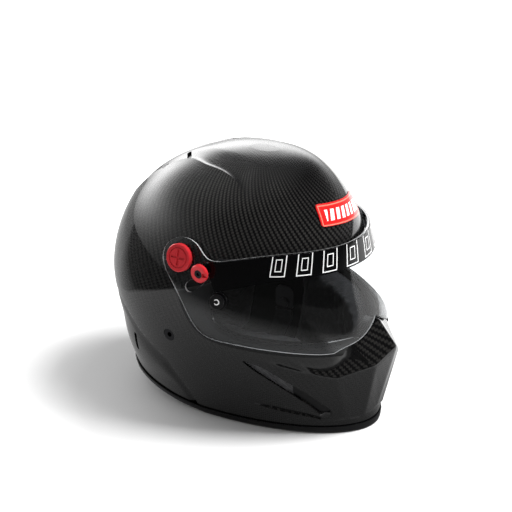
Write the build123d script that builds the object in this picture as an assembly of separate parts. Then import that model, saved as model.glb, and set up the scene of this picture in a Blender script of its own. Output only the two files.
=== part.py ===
"""Full-face auto racing helmet with a hinged clear shield, built piece by piece in millimetres.

The helmet faces -Y and stands on its rim, with +Z up. X = 0 is its mirror plane, and the wearer's
right side is at -X. The origin is the middle of the footprint, on the ground.
"""
from build123d import *
import os
from functools import cache
from math import cos, radians, sin

os.makedirs("parts", exist_ok=True)

# Overall form of the carbon shell
SHELL_HEIGHT = 282.0
HALF_WIDTH = 118.5
FRONT_REACH = 145.5
REAR_REACH = 167.0
WIDEST_Y = 23.0
SHELL_WALL = 3.0
FRONT_ROUNDNESS = 2.0
REAR_ROUNDNESS = 2.15
RING_POINTS = 20

# Level, half width, front, rear and middle of each ring of the dome, as shares of the sizes above,
# and the share of a growth that goes sideways there
RING_SHARES = (
    (-0.070, 0.570, 0.966, 0.863, 1.00, 1.00),
    (0.000, 0.658, 0.983, 0.874, 1.00, 1.00),
    (0.167, 0.852, 1.000, 0.901, 1.00, 1.00),
    (0.333, 0.962, 0.983, 0.949, 1.00, 1.00),
    (0.486, 1.000, 0.904, 1.000, 1.00, 1.00),
    (0.635, 0.932, 0.821, 0.967, 1.00, 1.00),
    (0.766, 0.823, 0.739, 0.859, 0.96, 1.00),
    (0.865, 0.684, 0.632, 0.698, 0.78, 0.85),
    (0.936, 0.515, 0.515, 0.506, 0.43, 0.66),
    (0.979, 0.346, 0.392, 0.311, 0.09, 0.45),
    (0.995, 0.203, 0.254, 0.156, -0.17, 0.27),
    (1.000, 0.076, 0.137, 0.054, -0.24, 0.10),
)

# Clearances
GAP = 0.3
SKIN_GAP = 0.05
RUNNING_GAP = 0.1
OVERRUN = 60.0

# Chin prow: corners on the +X side as shares of half width, front reach and shell height
PROW_WALL = 4.5
PROW_SHARES = {
    "core": (0.000, -0.412, 0.213),
    "peak": (0.000, -0.992, 0.437),
    "tip": (0.000, -1.147, 0.343),
    "foot": (0.000, -1.006, 0.076),
    "front_top": (0.203, -1.078, 0.289),
    "front_foot": (0.165, -0.976, 0.058),
    "side_top": (0.473, -0.887, 0.257),
    "side_foot": (0.312, -0.900, 0.062),
    "ridge_mid": (0.589, -0.775, 0.277),
    "ridge_low": (0.765, -0.552, 0.318),
    "ridge_end": (0.872, -0.289, 0.351),
    "lower_mid": (0.436, -0.760, 0.064),
    "lower_end": (0.640, -0.540, 0.170),
    "seat_peak": (0.000, -0.895, 0.437),
    "seat_near": (0.109, -0.965, 0.412),
    "seat_front": (0.300, -0.920, 0.379),
    "seat_corner": (0.430, -0.830, 0.342),
    "seat_mid": (0.734, -0.564, 0.356),
    "seat_end": (0.895, -0.213, 0.372),
}
PROW_FACETS = (
    ("foot", "front_foot", "front_top", "tip"),
    ("front_foot", "side_foot", "side_top", "front_top"),
    ("side_foot", "lower_mid", "ridge_mid", "side_top"),
    ("lower_mid", "lower_end", "ridge_low", "ridge_mid"),
    ("lower_end", "ridge_end", "ridge_low"),
    ("tip", "front_top", "seat_front", "seat_near", "peak"),
    ("front_top", "side_top", "seat_corner", "seat_front"),
    ("side_top", "ridge_mid", "seat_mid", "seat_corner"),
    ("ridge_mid", "ridge_low", "seat_end", "seat_mid"),
    ("ridge_low", "ridge_end", "seat_end"),
    ("peak", "seat_near", "seat_front", "seat_peak"),
)

# Side outlines as runs of (share of front reach, share of shell height); long runs are curves
EYEPORT_RUNS = (
    ((-1.375, 0.720), (-0.412, 0.702)),
    ((-0.412, 0.702), (-0.179, 0.674), (-0.110, 0.582), (-0.137, 0.461), (-0.289, 0.422)),
    ((-0.289, 0.422), (-0.605, 0.401)),
    ((-0.605, 0.401), (-1.375, 0.387)),
)
SHIELD_RUNS = (
    ((-1.375, 0.738), (-0.790, 0.746)),
    ((-0.790, 0.746), (-0.506, 0.736), (-0.346, 0.720), (-0.150, 0.697)),
    ((-0.150, 0.697), (-0.060, 0.700), (0.030, 0.740), (0.155, 0.757), (0.270, 0.727), (0.305, 0.680),
     (0.265, 0.628)),
    ((0.265, 0.628), (0.151, 0.561), (0.073, 0.501), (0.023, 0.459), (-0.045, 0.421), (-0.241, 0.398)),
    ((-0.241, 0.398), (-0.598, 0.378), (-0.815, 0.362)),
    ((-0.815, 0.362), (-1.375, 0.352)),
)
STRIP_RUNS = (
    ((-1.375, 0.649), (-0.795, 0.649)),
    ((-0.795, 0.649), (-0.538, 0.641), (-0.350, 0.620), (-0.137, 0.588)),
    ((-0.137, 0.588), (-0.045, 0.683)),
    ((-0.045, 0.683), (-0.150, 0.693)),
    ((-0.150, 0.693), (-0.346, 0.715), (-0.506, 0.731), (-0.790, 0.741)),
    ((-0.790, 0.741), (-1.375, 0.733)),
)
GASKET_RUNS = (
    ((-1.375, 0.734), (-0.344, 0.720)),
    ((-0.344, 0.720), (-0.110, 0.700)),
    ((-0.110, 0.700), (-0.075, 0.610)),
    ((-0.075, 0.610), (0.186, 0.556)),
    ((0.186, 0.556), (0.100, 0.468), (-0.021, 0.403), (-0.247, 0.376)),
    ((-0.247, 0.376), (-0.605, 0.356)),
    ((-0.605, 0.356), (-0.880, 0.340)),
    ((-0.880, 0.340), (-1.375, 0.340)),
)
SCOOP_RUNS = (
    ((-0.310, 0.316), (-0.538, 0.256), (-0.690, 0.196), (-0.794, 0.134)),
    ((-0.794, 0.134), (-0.828, 0.104), (-0.780, 0.108)),
    ((-0.780, 0.108), (-0.573, 0.219), (-0.433, 0.275), (-0.310, 0.316)),
)
SCOOP_SCREEN_RUNS = (
    ((-0.270, 0.345), (-0.600, 0.270)),
    ((-0.600, 0.270), (-0.870, 0.150)),
    ((-0.870, 0.150), (-0.870, 0.085)),
    ((-0.870, 0.085), (-0.720, 0.095)),
    ((-0.720, 0.095), (-0.450, 0.225)),
    ((-0.450, 0.225), (-0.270, 0.290)),
    ((-0.270, 0.290), (-0.270, 0.345)),
)
PANEL_RUNS = (
    ((-0.355, 0.286), (-0.550, 0.213), (-0.690, 0.143), (-0.765, 0.077)),
    ((-0.765, 0.077), (-0.570, 0.092), (-0.330, 0.125)),
    ((-0.330, 0.125), (-0.300, 0.210), (-0.355, 0.286)),
)
SKIRT_RUNS = (
    ((1.400, 0.454), (1.146, 0.454)),
    ((1.146, 0.454), (0.763, 0.397), (0.596, 0.328), (0.447, 0.280), (0.327, 0.242)),
    ((0.327, 0.242), (0.261, 0.184), (0.199, 0.115), (0.165, -0.035)),
    ((0.165, -0.035), (1.400, -0.035)),
)
EPS_RUNS = (
    ((-1.375, 0.766), (-0.412, 0.752)),
    ((-0.412, 0.752), (-0.110, 0.723)),
    ((-0.110, 0.723), (-0.048, 0.532), (0.000, 0.440)),
    ((0.000, 0.440), (0.412, 0.425)),
    ((0.412, 0.425), (0.454, 0.325)),
    ((0.454, 0.325), (1.400, 0.310)),
    ((1.400, 0.310), (1.400, 1.100)),
    ((1.400, 1.100), (-1.375, 1.100)),
)
CHEEK_RUNS = (
    ((-0.630, 0.085), (-0.630, 0.330)),
    ((-0.630, 0.330), (-0.460, 0.388), (-0.250, 0.402), (-0.110, 0.420)),
    ((-0.110, 0.420), (-0.030, 0.400), (-0.015, 0.330)),
    ((-0.015, 0.330), (-0.015, 0.085)),
    ((-0.015, 0.085), (-0.630, 0.085)),
)
RIM_RUNS = (
    ((-1.400, 0.000), (0.130, 0.000)),
    ((0.130, 0.000), (0.380, 0.016), (0.700, 0.050), (1.050, 0.078)),
    ((1.050, 0.078), (1.400, 0.100)),
    ((1.400, 0.100), (1.400, -0.400)),
    ((1.400, -0.400), (-1.400, -0.400)),
)

# Notch of the shield over the chin, seen from the front, as shares of half width and shell height
NOTCH_RUNS = (
    ((-0.560, 0.330), (-0.480, 0.363), (-0.307, 0.385), (-0.109, 0.418), (0.000, 0.447)),
    ((0.000, 0.447), (0.109, 0.418), (0.307, 0.385), (0.480, 0.363), (0.560, 0.330)),
)

# Crown outlines seen from above, as shares of half width and front reach
CREASE_RUNS = (
    ((0.422, 0.870), (0.365, 0.674), (0.370, 0.446), (0.460, 0.052), (0.502, -0.067), (0.575, -0.232)),
    ((0.575, -0.232), (0.535, -0.067), (0.503, 0.052), (0.418, 0.446), (0.412, 0.674), (0.422, 0.870)),
)
CREASE_DEPTH = 1.6
CROWN_SLOTS = ((24.0, 73.0), (30.0, 98.0))
CROWN_SLOT_LENGTH = 10.0
CROWN_SLOT_WIDTH = 4.5
SCREEN_WALL = 1.0
SCREEN_BORDER = 4.0
PANEL_DEPTH = 1.2
REAR_SLOT_Y = 97.0
REAR_SLOT_Z = 71.0
REAR_SLOT_LENGTH = 22.0

# Rubber rim trim
TRIM_HEIGHT = 9.0
TRIM_LIP = 1.5
TRIM_WEB = 2.5

# Liners and pads, as depths below the outside of the shell
EPS_OUTER = SHELL_WALL + GAP
EPS_INNER = 25.0
COMFORT_INNER = 36.0
COMFORT_INSET = 4.0
CHEEK_OUTER = 5.0
CHEEK_INNER = 36.0
CHIN_LINER_INNER = 21.0
CHIN_LINER_BACK = 95.0
CHIN_LINER_LOW = 15.0
CHIN_LINER_TOP = 92.0
NECK_FRONT = 68.0
NECK_OUTER = 5.0
NECK_INNER = 27.0
NECK_LOW = 26.0
NECK_TOP = 84.0
BROW_LEVEL = 0.766
SIDE_LEVEL = 0.486

# Shield, strip and seal, as heights above the outside of the shell
SHIELD_GAP = 3.2
SHIELD_WALL = 2.3
SHIELD_EASE = 2.8
SHIELD_EASE_SHARES = (0.0, 0.0, 0.0, 0.0, 0.0, 0.36, 1.0, 1.0, 1.0, 1.0, 1.0, 1.0)
STRIP_WALL = 0.35
GASKET_WALL = 2.5

# Shield pivot on each side, about X, and what sits round it
PIVOT_Y = 22.0
PIVOT_Z = 193.5
HUB_RADIUS = 10.0
HUB_BORE_RADIUS = 6.5
HUB_NUT_RADIUS = 15.0
HUB_NUT_WALL = 3.0
KNOB_RADIUS = 14.5
KNOB_HEIGHT = 4.5
KNOB_SHANK_RADIUS = 3.5
KNOB_SHANK_LENGTH = 7.6
SHIELD_OPEN_ANGLE = 45.0

SWEEP_STEPS = 5
KNOB_LIFT = 0.5

# Lock knob in the curved slot of the shield
LATCH_RADIUS = 30.6
LATCH_ANGLE = 193.6
LATCH_KNOB_RADIUS = 9.5
LATCH_KNOB_HEIGHT = 4.5
LATCH_STUD_RADIUS = 4.6
LATCH_BORE_RADIUS = 2.5
LATCH_NUT_RADIUS = 8.0
SLOT_WIDTH = 11.0
SLOT_MARGIN_ANGLE = 3.0
SCREW_HEAD_RADIUS = 4.2
SCREW_HEAD_HEIGHT = 3.2
HEX_ACROSS = 4.0

# Tear-off post on each side of the shield
POST_Y = -26.0
POST_Z = 158.0
POST_FLANGE_RADIUS = 8.8
POST_FLANGE_HEIGHT = 1.8
POST_NECK_RADIUS = 4.6
POST_NECK_HEIGHT = 2.2
POST_HEAD_RADIUS = 7.6
POST_HEAD_HEIGHT = 2.6
POST_OFFSET = 0.8
POST_STEM_RADIUS = 2.0
POST_NUT_RADIUS = 5.0
POST_NUT_HEIGHT = 2.0

# Threaded inserts for a head restraint
INSERT_Y = 38.0
INSERT_Z = 103.0
INSERT_RADIUS = 6.6
INSERT_BORE_RADIUS = 2.6
INSERT_LENGTH = 12.0
INSERT_FLANGE_RADIUS = 11.0
INSERT_FLANGE_WALL = 2.0
INSERT_RECESS = 0.8

# Forehead badge, whose ends rise a little
BADGE_HALF_WIDTH = 36.0
BADGE_LEVEL = 223.5
BADGE_HEIGHT = 22.5
BADGE_RISE = 12.5
BADGE_CORNER = 4.0
BADGE_WALL = 1.0

# Chin strap on each side: a tab on a rivet, webbing sewn to it, and rings or a snap at its end
STRAP_Y = 27.0
STRAP_Z = 62.0
STRAP_INSET = 12.0
RIVET_RADIUS = 3.0
RIVET_PLATE_RADIUS = 8.0
RIVET_PLATE_WALL = 1.5
RIVET_HEAD_RADIUS = 5.5
RIVET_HEAD_WALL = 1.5
TAB_WALL = 2.0
TAB_WIDTH = 24.0
TAB_ABOVE = 8.0
TAB_BELOW = 20.0
WEBBING_WALL = 2.4
WEBBING_WIDTH = 22.0
WEBBING_START = 7.0
WEBBING_BEND = 18.0
WEBBING_BEND_RADIUS = 8.0
WEBBING_REACH = 23.0
WEBBING_DROP = 22.0
LOOP_LENGTH = 10.0
LOOP_THICKNESS = 5.4
RING_WIRE = 2.6
RING_SPACING = 3.4
RING_WIDTH = 32.0
RING_DROP = 15.0
RING_CORNER = 5.0
SNAP_RADIUS = 6.0
SNAP_HEIGHT = 2.0

# Snaps that hold each cheek pad to its side
PAD_SNAP_RADIUS = 5.0
PAD_SNAP_SHARES = ((-0.50, 0.13), (-0.25, 0.365), (-0.14, 0.20))


def side_points(run):
    """Points in the YZ plane from shares of front reach and shell height."""
    return [Vector(0, y * FRONT_REACH, z * SHELL_HEIGHT) for y, z in run]


def plan_points(run):
    """Points in the XY plane from shares of half width and front reach."""
    return [Vector(x * HALF_WIDTH, y * FRONT_REACH, 0) for x, y in run]


def outline(runs):
    """Closed wire from runs of points: two points make a line, more make a curve."""
    edges = [Line(*run) if len(run) == 2 else Spline(*run) for run in runs]
    if (runs[-1][-1] - runs[0][0]).length > SKIN_GAP:
        edges.append(Line(runs[-1][-1], runs[0][0]))
    return Wire(edges)


def side_prism(runs):
    """Solid with a side outline, right across the helmet."""
    face = Face(outline([side_points(run) for run in runs]))
    reach = HALF_WIDTH + OVERRUN
    return extrude(face, amount=reach, dir=(1, 0, 0), both=True)


def block(low, high):
    """Box between two corners."""
    size = [b - a for a, b in zip(low, high)]
    middle = [(a + b) / 2 for a, b in zip(low, high)]
    return Pos(*middle) * Box(*size)


def right_half():
    """Everything on the wearer's right side."""
    reach = SHELL_HEIGHT + OVERRUN
    return block((-reach, -reach, -reach), (0, reach, reach))


def ring(shares, grow, ease=0.0):
    """One closed ring of the dome, grown outwards by a distance."""
    level, width, front, rear, middle, sideways = shares
    half = width * HALF_WIDTH + grow * sideways + ease
    centre = middle * WIDEST_Y
    ahead = front * FRONT_REACH + grow * sideways + centre
    behind = rear * REAR_REACH + grow * sideways - centre
    height = level * (SHELL_HEIGHT + grow)
    points = []
    for index in range(RING_POINTS):
        angle = radians(90.0 + 360.0 * index / RING_POINTS)
        across, along = cos(angle), sin(angle)
        power = 2 / (REAR_ROUNDNESS if along > 0 else FRONT_ROUNDNESS)
        x = half * abs(across) ** power * (1 if across > 0 else -1)
        reach = behind if along > 0 else -ahead
        points.append((x, centre + reach * abs(along) ** power, height))
    steps = [index / RING_POINTS for index in range(RING_POINTS + 1)]
    return Wire([Edge.make_spline(points, periodic=True, parameters=steps)])


@cache
def dome(grow, eased=False):
    """Closed egg-shaped solid, the outside of the shell grown by a distance."""
    eases = SHIELD_EASE_SHARES if eased else [0.0] * len(RING_SHARES)
    rings = [ring(shares, grow, ease * SHIELD_EASE) for shares, ease in zip(RING_SHARES, eases)]
    return Solid.make_loft(rings)


@cache
def surface_x(y, z, grow=0.0, eased=False):
    """Half width of the grown shell form at one place on its side."""
    probe = Edge.make_line((0, y, z), (-HALF_WIDTH - OVERRUN, y, z))
    hit = dome(grow, eased).intersect(probe)
    return -min(vertex.X for vertex in hit.vertices())


def on_right(shape, x, y, z):
    """Place a shape made along +Z so that it points out of the right side."""
    return Plane(origin=(-x, y, z), x_dir=(0, 1, 0), z_dir=(-1, 0, 0)) * shape


def rod(radius, height, start=0.0):
    """Cylinder along +Z from a start level."""
    return Pos(0, 0, start + height / 2) * Cylinder(radius, height)


def prow(wall=0.0):
    """Faceted chin: flat facets outside, closed to a core inside, shrunk by a wall."""
    core = PROW_SHARES["core"]
    spread = (HALF_WIDTH, FRONT_REACH, SHELL_HEIGHT)
    centre = Vector(*[a * b for a, b in zip(core, spread)])
    tip = Vector(*[a * b for a, b in zip(PROW_SHARES["tip"], spread)])
    shrink = 1 - wall / (tip - centre).length

    def corner(name, side):
        x, y, z = [a * b for a, b in zip(PROW_SHARES[name], spread)]
        return centre + (Vector(side * x, y, z) - centre) * shrink

    triangles = []
    for facet in PROW_FACETS:
        for first, second in zip(facet[1:], facet[2:]):
            names = (facet[0], first, second)
            triangles.append([(name, 1) for name in names])
            triangles.append([(name, -1) for name in reversed(names)])
    triangles = [[(name, side if PROW_SHARES[name][0] else 0) for name, side in t] for t in triangles]
    edges = [(t[i], t[(i + 1) % 3]) for t in triangles for i in range(3)]
    open_edges = [(a, b) for a, b in edges if (b, a) not in edges]
    triangles += [[b, a, ("core", 0)] for a, b in open_edges]
    faces = [Face(Wire.make_polygon([corner(*key) for key in t], close=True)) for t in triangles]
    return Solid(Shell(faces))


def both_sides(name, shape, parts):
    """Store a right-hand piece and its mirror image."""
    parts[name + "_right"] = shape
    parts[name + "_left"] = mirror(shape, about=Plane.YZ)


def across(shape):
    """A right-hand cutter together with its mirror image."""
    return [shape, mirror(shape, about=Plane.YZ)]


# Shared solids
outside = dome(0)
inside = dome(-SHELL_WALL)
rim_cut = side_prism(RIM_RUNS)
hub_x = surface_x(PIVOT_Y, PIVOT_Z)
latch_y = PIVOT_Y + LATCH_RADIUS * cos(radians(LATCH_ANGLE))
latch_z = PIVOT_Z + LATCH_RADIUS * sin(radians(LATCH_ANGLE))
latch_x = surface_x(latch_y, latch_z)
insert_x = surface_x(INSERT_Y, INSERT_Z)
scoop_cut = side_prism(SCOOP_RUNS)
insert_seat = on_right(rod(INSERT_RADIUS + GAP, OVERRUN, -OVERRUN / 2), insert_x, INSERT_Y, INSERT_Z)


def crown_slot_cuts():
    """Transverse vent slots in the crown, on both sides."""
    cuts = []
    for x, y in CROWN_SLOTS:
        slot = extrude(SlotOverall(CROWN_SLOT_LENGTH, CROWN_SLOT_WIDTH), SHELL_HEIGHT)
        slot = Pos(x, y, SHELL_HEIGHT / 2) * slot
        cuts += [slot, mirror(slot, about=Plane.YZ)]
    return cuts


def crown_screen_area(border):
    """Plan area of the right-hand crown screen, as a tall block."""
    xs = [x for x, _ in CROWN_SLOTS]
    ys = [y for _, y in CROWN_SLOTS]
    reach_x = CROWN_SLOT_LENGTH / 2 + border
    reach_y = CROWN_SLOT_WIDTH / 2 + border
    low = (-max(xs) - reach_x, min(ys) - reach_y, SHELL_HEIGHT / 2)
    high = (-min(xs) + reach_x, max(ys) + reach_y, SHELL_HEIGHT + OVERRUN)
    return block(low, high)


def rear_slot_cut():
    """Small exhaust slot low on the right rear."""
    slot = extrude(SlotOverall(REAR_SLOT_LENGTH, CROWN_SLOT_WIDTH), OVERRUN, both=True)
    return on_right(Rot(0, 0, 90) * slot, surface_x(REAR_SLOT_Y, REAR_SLOT_Z), REAR_SLOT_Y, REAR_SLOT_Z)


def outer_shell():
    """Carbon shell: dome and faceted chin, hollowed, with its openings and relief."""
    body = (outside - side_prism(EYEPORT_RUNS)) + prow()
    body = body - inside - prow(PROW_WALL)
    body -= scoop_cut
    relief = side_prism(PANEL_RUNS) + side_prism(SKIRT_RUNS)
    body -= relief - dome(-PANEL_DEPTH)
    crease = Face(outline([plan_points(run) for run in CREASE_RUNS]))
    crease = Pos(0, 0, SHELL_HEIGHT / 2) * extrude(crease, SHELL_HEIGHT)
    groove = crease - dome(-CREASE_DEPTH)
    hub_hole = on_right(rod(HUB_RADIUS + GAP, OVERRUN, -OVERRUN / 2), hub_x, PIVOT_Y, PIVOT_Z)
    latch_hole = on_right(rod(LATCH_STUD_RADIUS + GAP, OVERRUN, -OVERRUN / 2), latch_x, latch_y, latch_z)
    cuts = crown_slot_cuts() + [groove, mirror(groove, about=Plane.YZ)]
    for cut in (hub_hole, latch_hole, insert_seat, rear_slot_cut()):
        cuts += across(cut)
    for cut in cuts:
        body -= cut
    return body - Pos(0, 0, TRIM_WEB + GAP) * rim_cut


def base_trim():
    """Rubber channel that hugs the lower edge of the shell."""
    band = Pos(0, 0, TRIM_HEIGHT) * rim_cut - rim_cut
    body = (dome(GAP + TRIM_LIP) & band) - dome(-SHELL_WALL - GAP - TRIM_LIP)
    channel = (dome(GAP) & Pos(0, 0, TRIM_HEIGHT + GAP) * rim_cut) - dome(-SHELL_WALL - GAP)
    return body - (channel - Pos(0, 0, TRIM_WEB) * rim_cut)


def eyeport_gasket():
    """Rubber seal round the eyeport, on the outside of the shell."""
    opening = side_prism(EYEPORT_RUNS)
    band = side_prism(GASKET_RUNS) & (dome(GAP + GASKET_WALL) - dome(GAP))
    band = band - opening - prow(-PROW_WALL / 3)
    return max(band.solids(), key=lambda solid: solid.volume)


def arc_slot():
    """Curved slot of the shield, as a cutter on the right."""
    sweep = SHIELD_OPEN_ANGLE + 2 * SLOT_MARGIN_ANGLE
    arc = CenterArc((0, 0), LATCH_RADIUS, LATCH_ANGLE - SLOT_MARGIN_ANGLE, sweep)
    slot = extrude(SlotArc(arc, SLOT_WIDTH), OVERRUN, both=True)
    return Plane(origin=(-hub_x, PIVOT_Y, PIVOT_Z), x_dir=(0, 1, 0), z_dir=(1, 0, 0)) * slot


def shield_blank(low, high, runs):
    """Curved sheet between two heights above the shell, with a side outline."""
    return (side_prism(runs) & dome(high, eased=True)) - dome(low, eased=True)


def visor_shield():
    """Clear shield with its pivot holes, curved slots and post holes."""
    sheet = shield_blank(SHIELD_GAP, SHIELD_GAP + SHIELD_WALL, SHIELD_RUNS)
    notch = [[Vector(x * HALF_WIDTH, 0, z * SHELL_HEIGHT) for x, z in run] for run in NOTCH_RUNS]
    sheet -= extrude(Face(outline(notch)), amount=FRONT_REACH + OVERRUN, dir=(0, -1, 0))
    bore = square_place(rod(KNOB_SHANK_RADIUS + RUNNING_GAP, OVERRUN, -OVERRUN / 2), PIVOT_Y, PIVOT_Z)
    post = square_place(rod(POST_STEM_RADIUS + RUNNING_GAP, OVERRUN, -OVERRUN / 2), POST_Y, POST_Z)
    for cut in (bore, arc_slot(), post):
        for side in across(cut):
            sheet -= side
    return sheet


def visor_strip():
    """Film along the top of the shield, with its ends cut round the curved slots."""
    low = SHIELD_GAP + SHIELD_WALL + SKIN_GAP
    film = shield_blank(low, low + STRIP_WALL, STRIP_RUNS)
    for side in across(arc_slot()):
        film -= side
    return film


def shield_face_x(y, z):
    """Outside of the shield at one place on its side."""
    return surface_x(y, z, SHIELD_GAP + SHIELD_WALL, True)


def square_place(shape, place_y, place_z):
    """Place a shape square to the shield at one place on the right side."""
    step = POST_FLANGE_RADIUS
    rise_y = shield_face_x(place_y + step, place_z) - shield_face_x(place_y - step, place_z)
    rise_z = shield_face_x(place_y, place_z + step) - shield_face_x(place_y, place_z - step)
    seat = Vector(-shield_face_x(place_y, place_z), place_y, place_z)
    normal = Vector(-1, -rise_y / (2 * step), -rise_z / (2 * step)).normalized()
    return Plane(origin=seat, x_dir=(0, 1, 0), z_dir=normal) * shape


def swept_face_x(radius, place_y, place_z):
    """Furthest out that the turning shield comes under a disc on the right side."""
    reach = 0.0
    for turn in range(SWEEP_STEPS + 1):
        back = radians(SHIELD_OPEN_ANGLE * turn / SWEEP_STEPS)
        for index in range(2 * SWEEP_STEPS):
            angle = radians(180.0 * index / SWEEP_STEPS)
            y = place_y + radius * cos(angle) - PIVOT_Y
            z = place_z + radius * sin(angle) - PIVOT_Z
            y, z = y * cos(back) - z * sin(back), y * sin(back) + z * cos(back)
            reach = max(reach, shield_face_x(PIVOT_Y + y, PIVOT_Z + z))
    return reach


def plated_stud(radius, plate_radius, top, wall, bore, x, y, z):
    """Stud through the shell on the right, fused to a plate that follows the inside of the shell."""
    under = dome(-SHELL_WALL - GAP)
    depth = dome(-SHELL_WALL - GAP - wall)
    plate = on_right(rod(plate_radius, OVERRUN, -OVERRUN), x, y, z) & (under - depth)
    stud = on_right(rod(radius, top + OVERRUN, -OVERRUN), x, y, z) - depth
    return plate + stud - on_right(rod(bore, 2 * OVERRUN, -OVERRUN), x, y, z)


def hub():
    """Boss under the shield, with the bearing bore and a plate inside the shell."""
    lowest = shield_face_x(PIVOT_Y, PIVOT_Z + HUB_RADIUS)
    top = lowest - SHIELD_WALL - 2 * GAP - hub_x
    sizes = (HUB_RADIUS, HUB_NUT_RADIUS, top, HUB_NUT_WALL, HUB_BORE_RADIUS)
    return plated_stud(*sizes, hub_x, PIVOT_Y, PIVOT_Z)


def pivot_knob():
    """Red disc with a ring groove and a cross for the fingers, square to the shield."""
    disc = rod(KNOB_RADIUS, KNOB_HEIGHT)
    disc = chamfer(disc.edges().group_by(Axis.Z)[-1], KNOB_HEIGHT / 5)
    ring_outer = KNOB_RADIUS * 0.74
    ring_wall = KNOB_RADIUS * 0.07
    depth = KNOB_HEIGHT / 4
    top = KNOB_HEIGHT - depth
    disc -= rod(ring_outer, depth, top) - rod(ring_outer - ring_wall, depth, top)
    bar = Box(KNOB_RADIUS * 1.1, KNOB_RADIUS * 0.16, depth * 2)
    disc -= Pos(0, 0, KNOB_HEIGHT) * (bar + Rot(0, 0, 90) * bar)
    disc += rod(KNOB_SHANK_RADIUS, KNOB_SHANK_LENGTH + KNOB_HEIGHT / 2, -KNOB_SHANK_LENGTH)
    return square_place(Pos(0, 0, GAP) * disc, PIVOT_Y, PIVOT_Z)


def latch_knob():
    """Smaller red knob with a screw seat and one finger notch."""
    body = rod(LATCH_KNOB_RADIUS, LATCH_KNOB_HEIGHT)
    body = chamfer(body.edges().group_by(Axis.Z)[-1], LATCH_KNOB_HEIGHT / 4)
    body -= rod(SCREW_HEAD_RADIUS + GAP, LATCH_KNOB_HEIGHT, LATCH_KNOB_HEIGHT - SCREW_HEAD_HEIGHT)
    body -= rod(LATCH_BORE_RADIUS + GAP, LATCH_KNOB_HEIGHT * 2, -LATCH_KNOB_HEIGHT / 2)
    notch = Box(LATCH_KNOB_RADIUS, LATCH_KNOB_RADIUS / 2, LATCH_KNOB_HEIGHT)
    body -= Pos(-LATCH_KNOB_RADIUS, 0, LATCH_KNOB_HEIGHT) * notch
    return on_right(body, latch_knob_x, latch_y, latch_z)


def latch_screw():
    """Socket screw that holds the lock knob to its stud."""
    seat = LATCH_KNOB_HEIGHT - SCREW_HEAD_HEIGHT + SKIN_GAP
    body = rod(SCREW_HEAD_RADIUS, SCREW_HEAD_HEIGHT - GAP, seat)
    body += rod(LATCH_BORE_RADIUS - RUNNING_GAP, seat + LATCH_KNOB_RADIUS, -LATCH_KNOB_RADIUS)
    socket = extrude(RegularPolygon(HEX_ACROSS / 2, 6, major_radius=False), SCREW_HEAD_HEIGHT / 2)
    body -= Pos(0, 0, seat + SCREW_HEAD_HEIGHT - GAP - SCREW_HEAD_HEIGHT / 2) * socket
    return on_right(body, latch_knob_x, latch_y, latch_z)


def latch_stud():
    """Post that the lock knob turns on, with its plate inside the shell."""
    top = latch_knob_x - GAP - latch_x
    sizes = (LATCH_STUD_RADIUS, LATCH_NUT_RADIUS, top, HUB_NUT_WALL, LATCH_BORE_RADIUS)
    return plated_stud(*sizes, latch_x, latch_y, latch_z)


def tearoff_post():
    """Turning post with an eccentric head that film tabs hook over."""
    lift = GAP + POST_FLANGE_RADIUS ** 2 / (2 * HALF_WIDTH)
    body = rod(POST_FLANGE_RADIUS, POST_FLANGE_HEIGHT, lift)
    body += rod(POST_NECK_RADIUS, POST_NECK_HEIGHT, lift + POST_FLANGE_HEIGHT)
    top = lift + POST_FLANGE_HEIGHT + POST_NECK_HEIGHT
    head = rod(POST_HEAD_RADIUS, POST_HEAD_HEIGHT, top)
    head = fillet(head.edges().group_by(Axis.Z)[-1], POST_HEAD_HEIGHT / 3)
    body += Pos(POST_OFFSET, 0, 0) * head
    reach = lift + SHIELD_WALL + POST_NUT_HEIGHT
    body += rod(POST_STEM_RADIUS, reach, lift - reach)
    return square_place(body, POST_Y, POST_Z)


def tearoff_nut():
    """Nut of the post, on the inside of the shield."""
    low = -SHIELD_WALL - GAP - POST_NUT_HEIGHT
    body = rod(POST_NUT_RADIUS, POST_NUT_HEIGHT, low)
    body -= rod(POST_STEM_RADIUS + RUNNING_GAP, OVERRUN, -OVERRUN / 2)
    return square_place(body, POST_Y, POST_Z)


def fhr_insert():
    """Threaded insert for a head restraint, with a flange inside the shell."""
    body = plated_stud(INSERT_RADIUS, INSERT_FLANGE_RADIUS, -INSERT_RECESS, INSERT_FLANGE_WALL,
                       INSERT_BORE_RADIUS, insert_x, INSERT_Y, INSERT_Z)
    barrel = rod(INSERT_RADIUS, INSERT_LENGTH, -INSERT_RECESS - INSERT_LENGTH)
    barrel -= rod(INSERT_BORE_RADIUS, 2 * OVERRUN, -OVERRUN)
    return body + on_right(barrel, insert_x, INSERT_Y, INSERT_Z)


def badge():
    """Rounded plate on the forehead, whose ends rise."""
    places = [(side * BADGE_HALF_WIDTH, abs(side) * BADGE_RISE - BADGE_HEIGHT / 2) for side in (-1, 0, 1)]
    low = [Vector(x, z, 0) for x, z in places]
    high = [point + Vector(0, BADGE_HEIGHT, 0) for point in reversed(low)]
    plate = Face(outline([low, [low[-1], high[0]], high, [high[-1], low[0]]]))
    plate = extrude(plate, FRONT_REACH + OVERRUN)
    plate = fillet(plate.edges().filter_by(Axis.Z), BADGE_CORNER)
    prism = Plane(origin=(0, 0, BADGE_LEVEL), x_dir=(1, 0, 0), z_dir=(0, -1, 0)) * plate
    return prism & (dome(GAP + BADGE_WALL) - dome(GAP))


def screen(area):
    """Thin vent screen just inside the shell."""
    return area & (dome(-SHELL_WALL - GAP) - dome(-SHELL_WALL - GAP - SCREEN_WALL))


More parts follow.
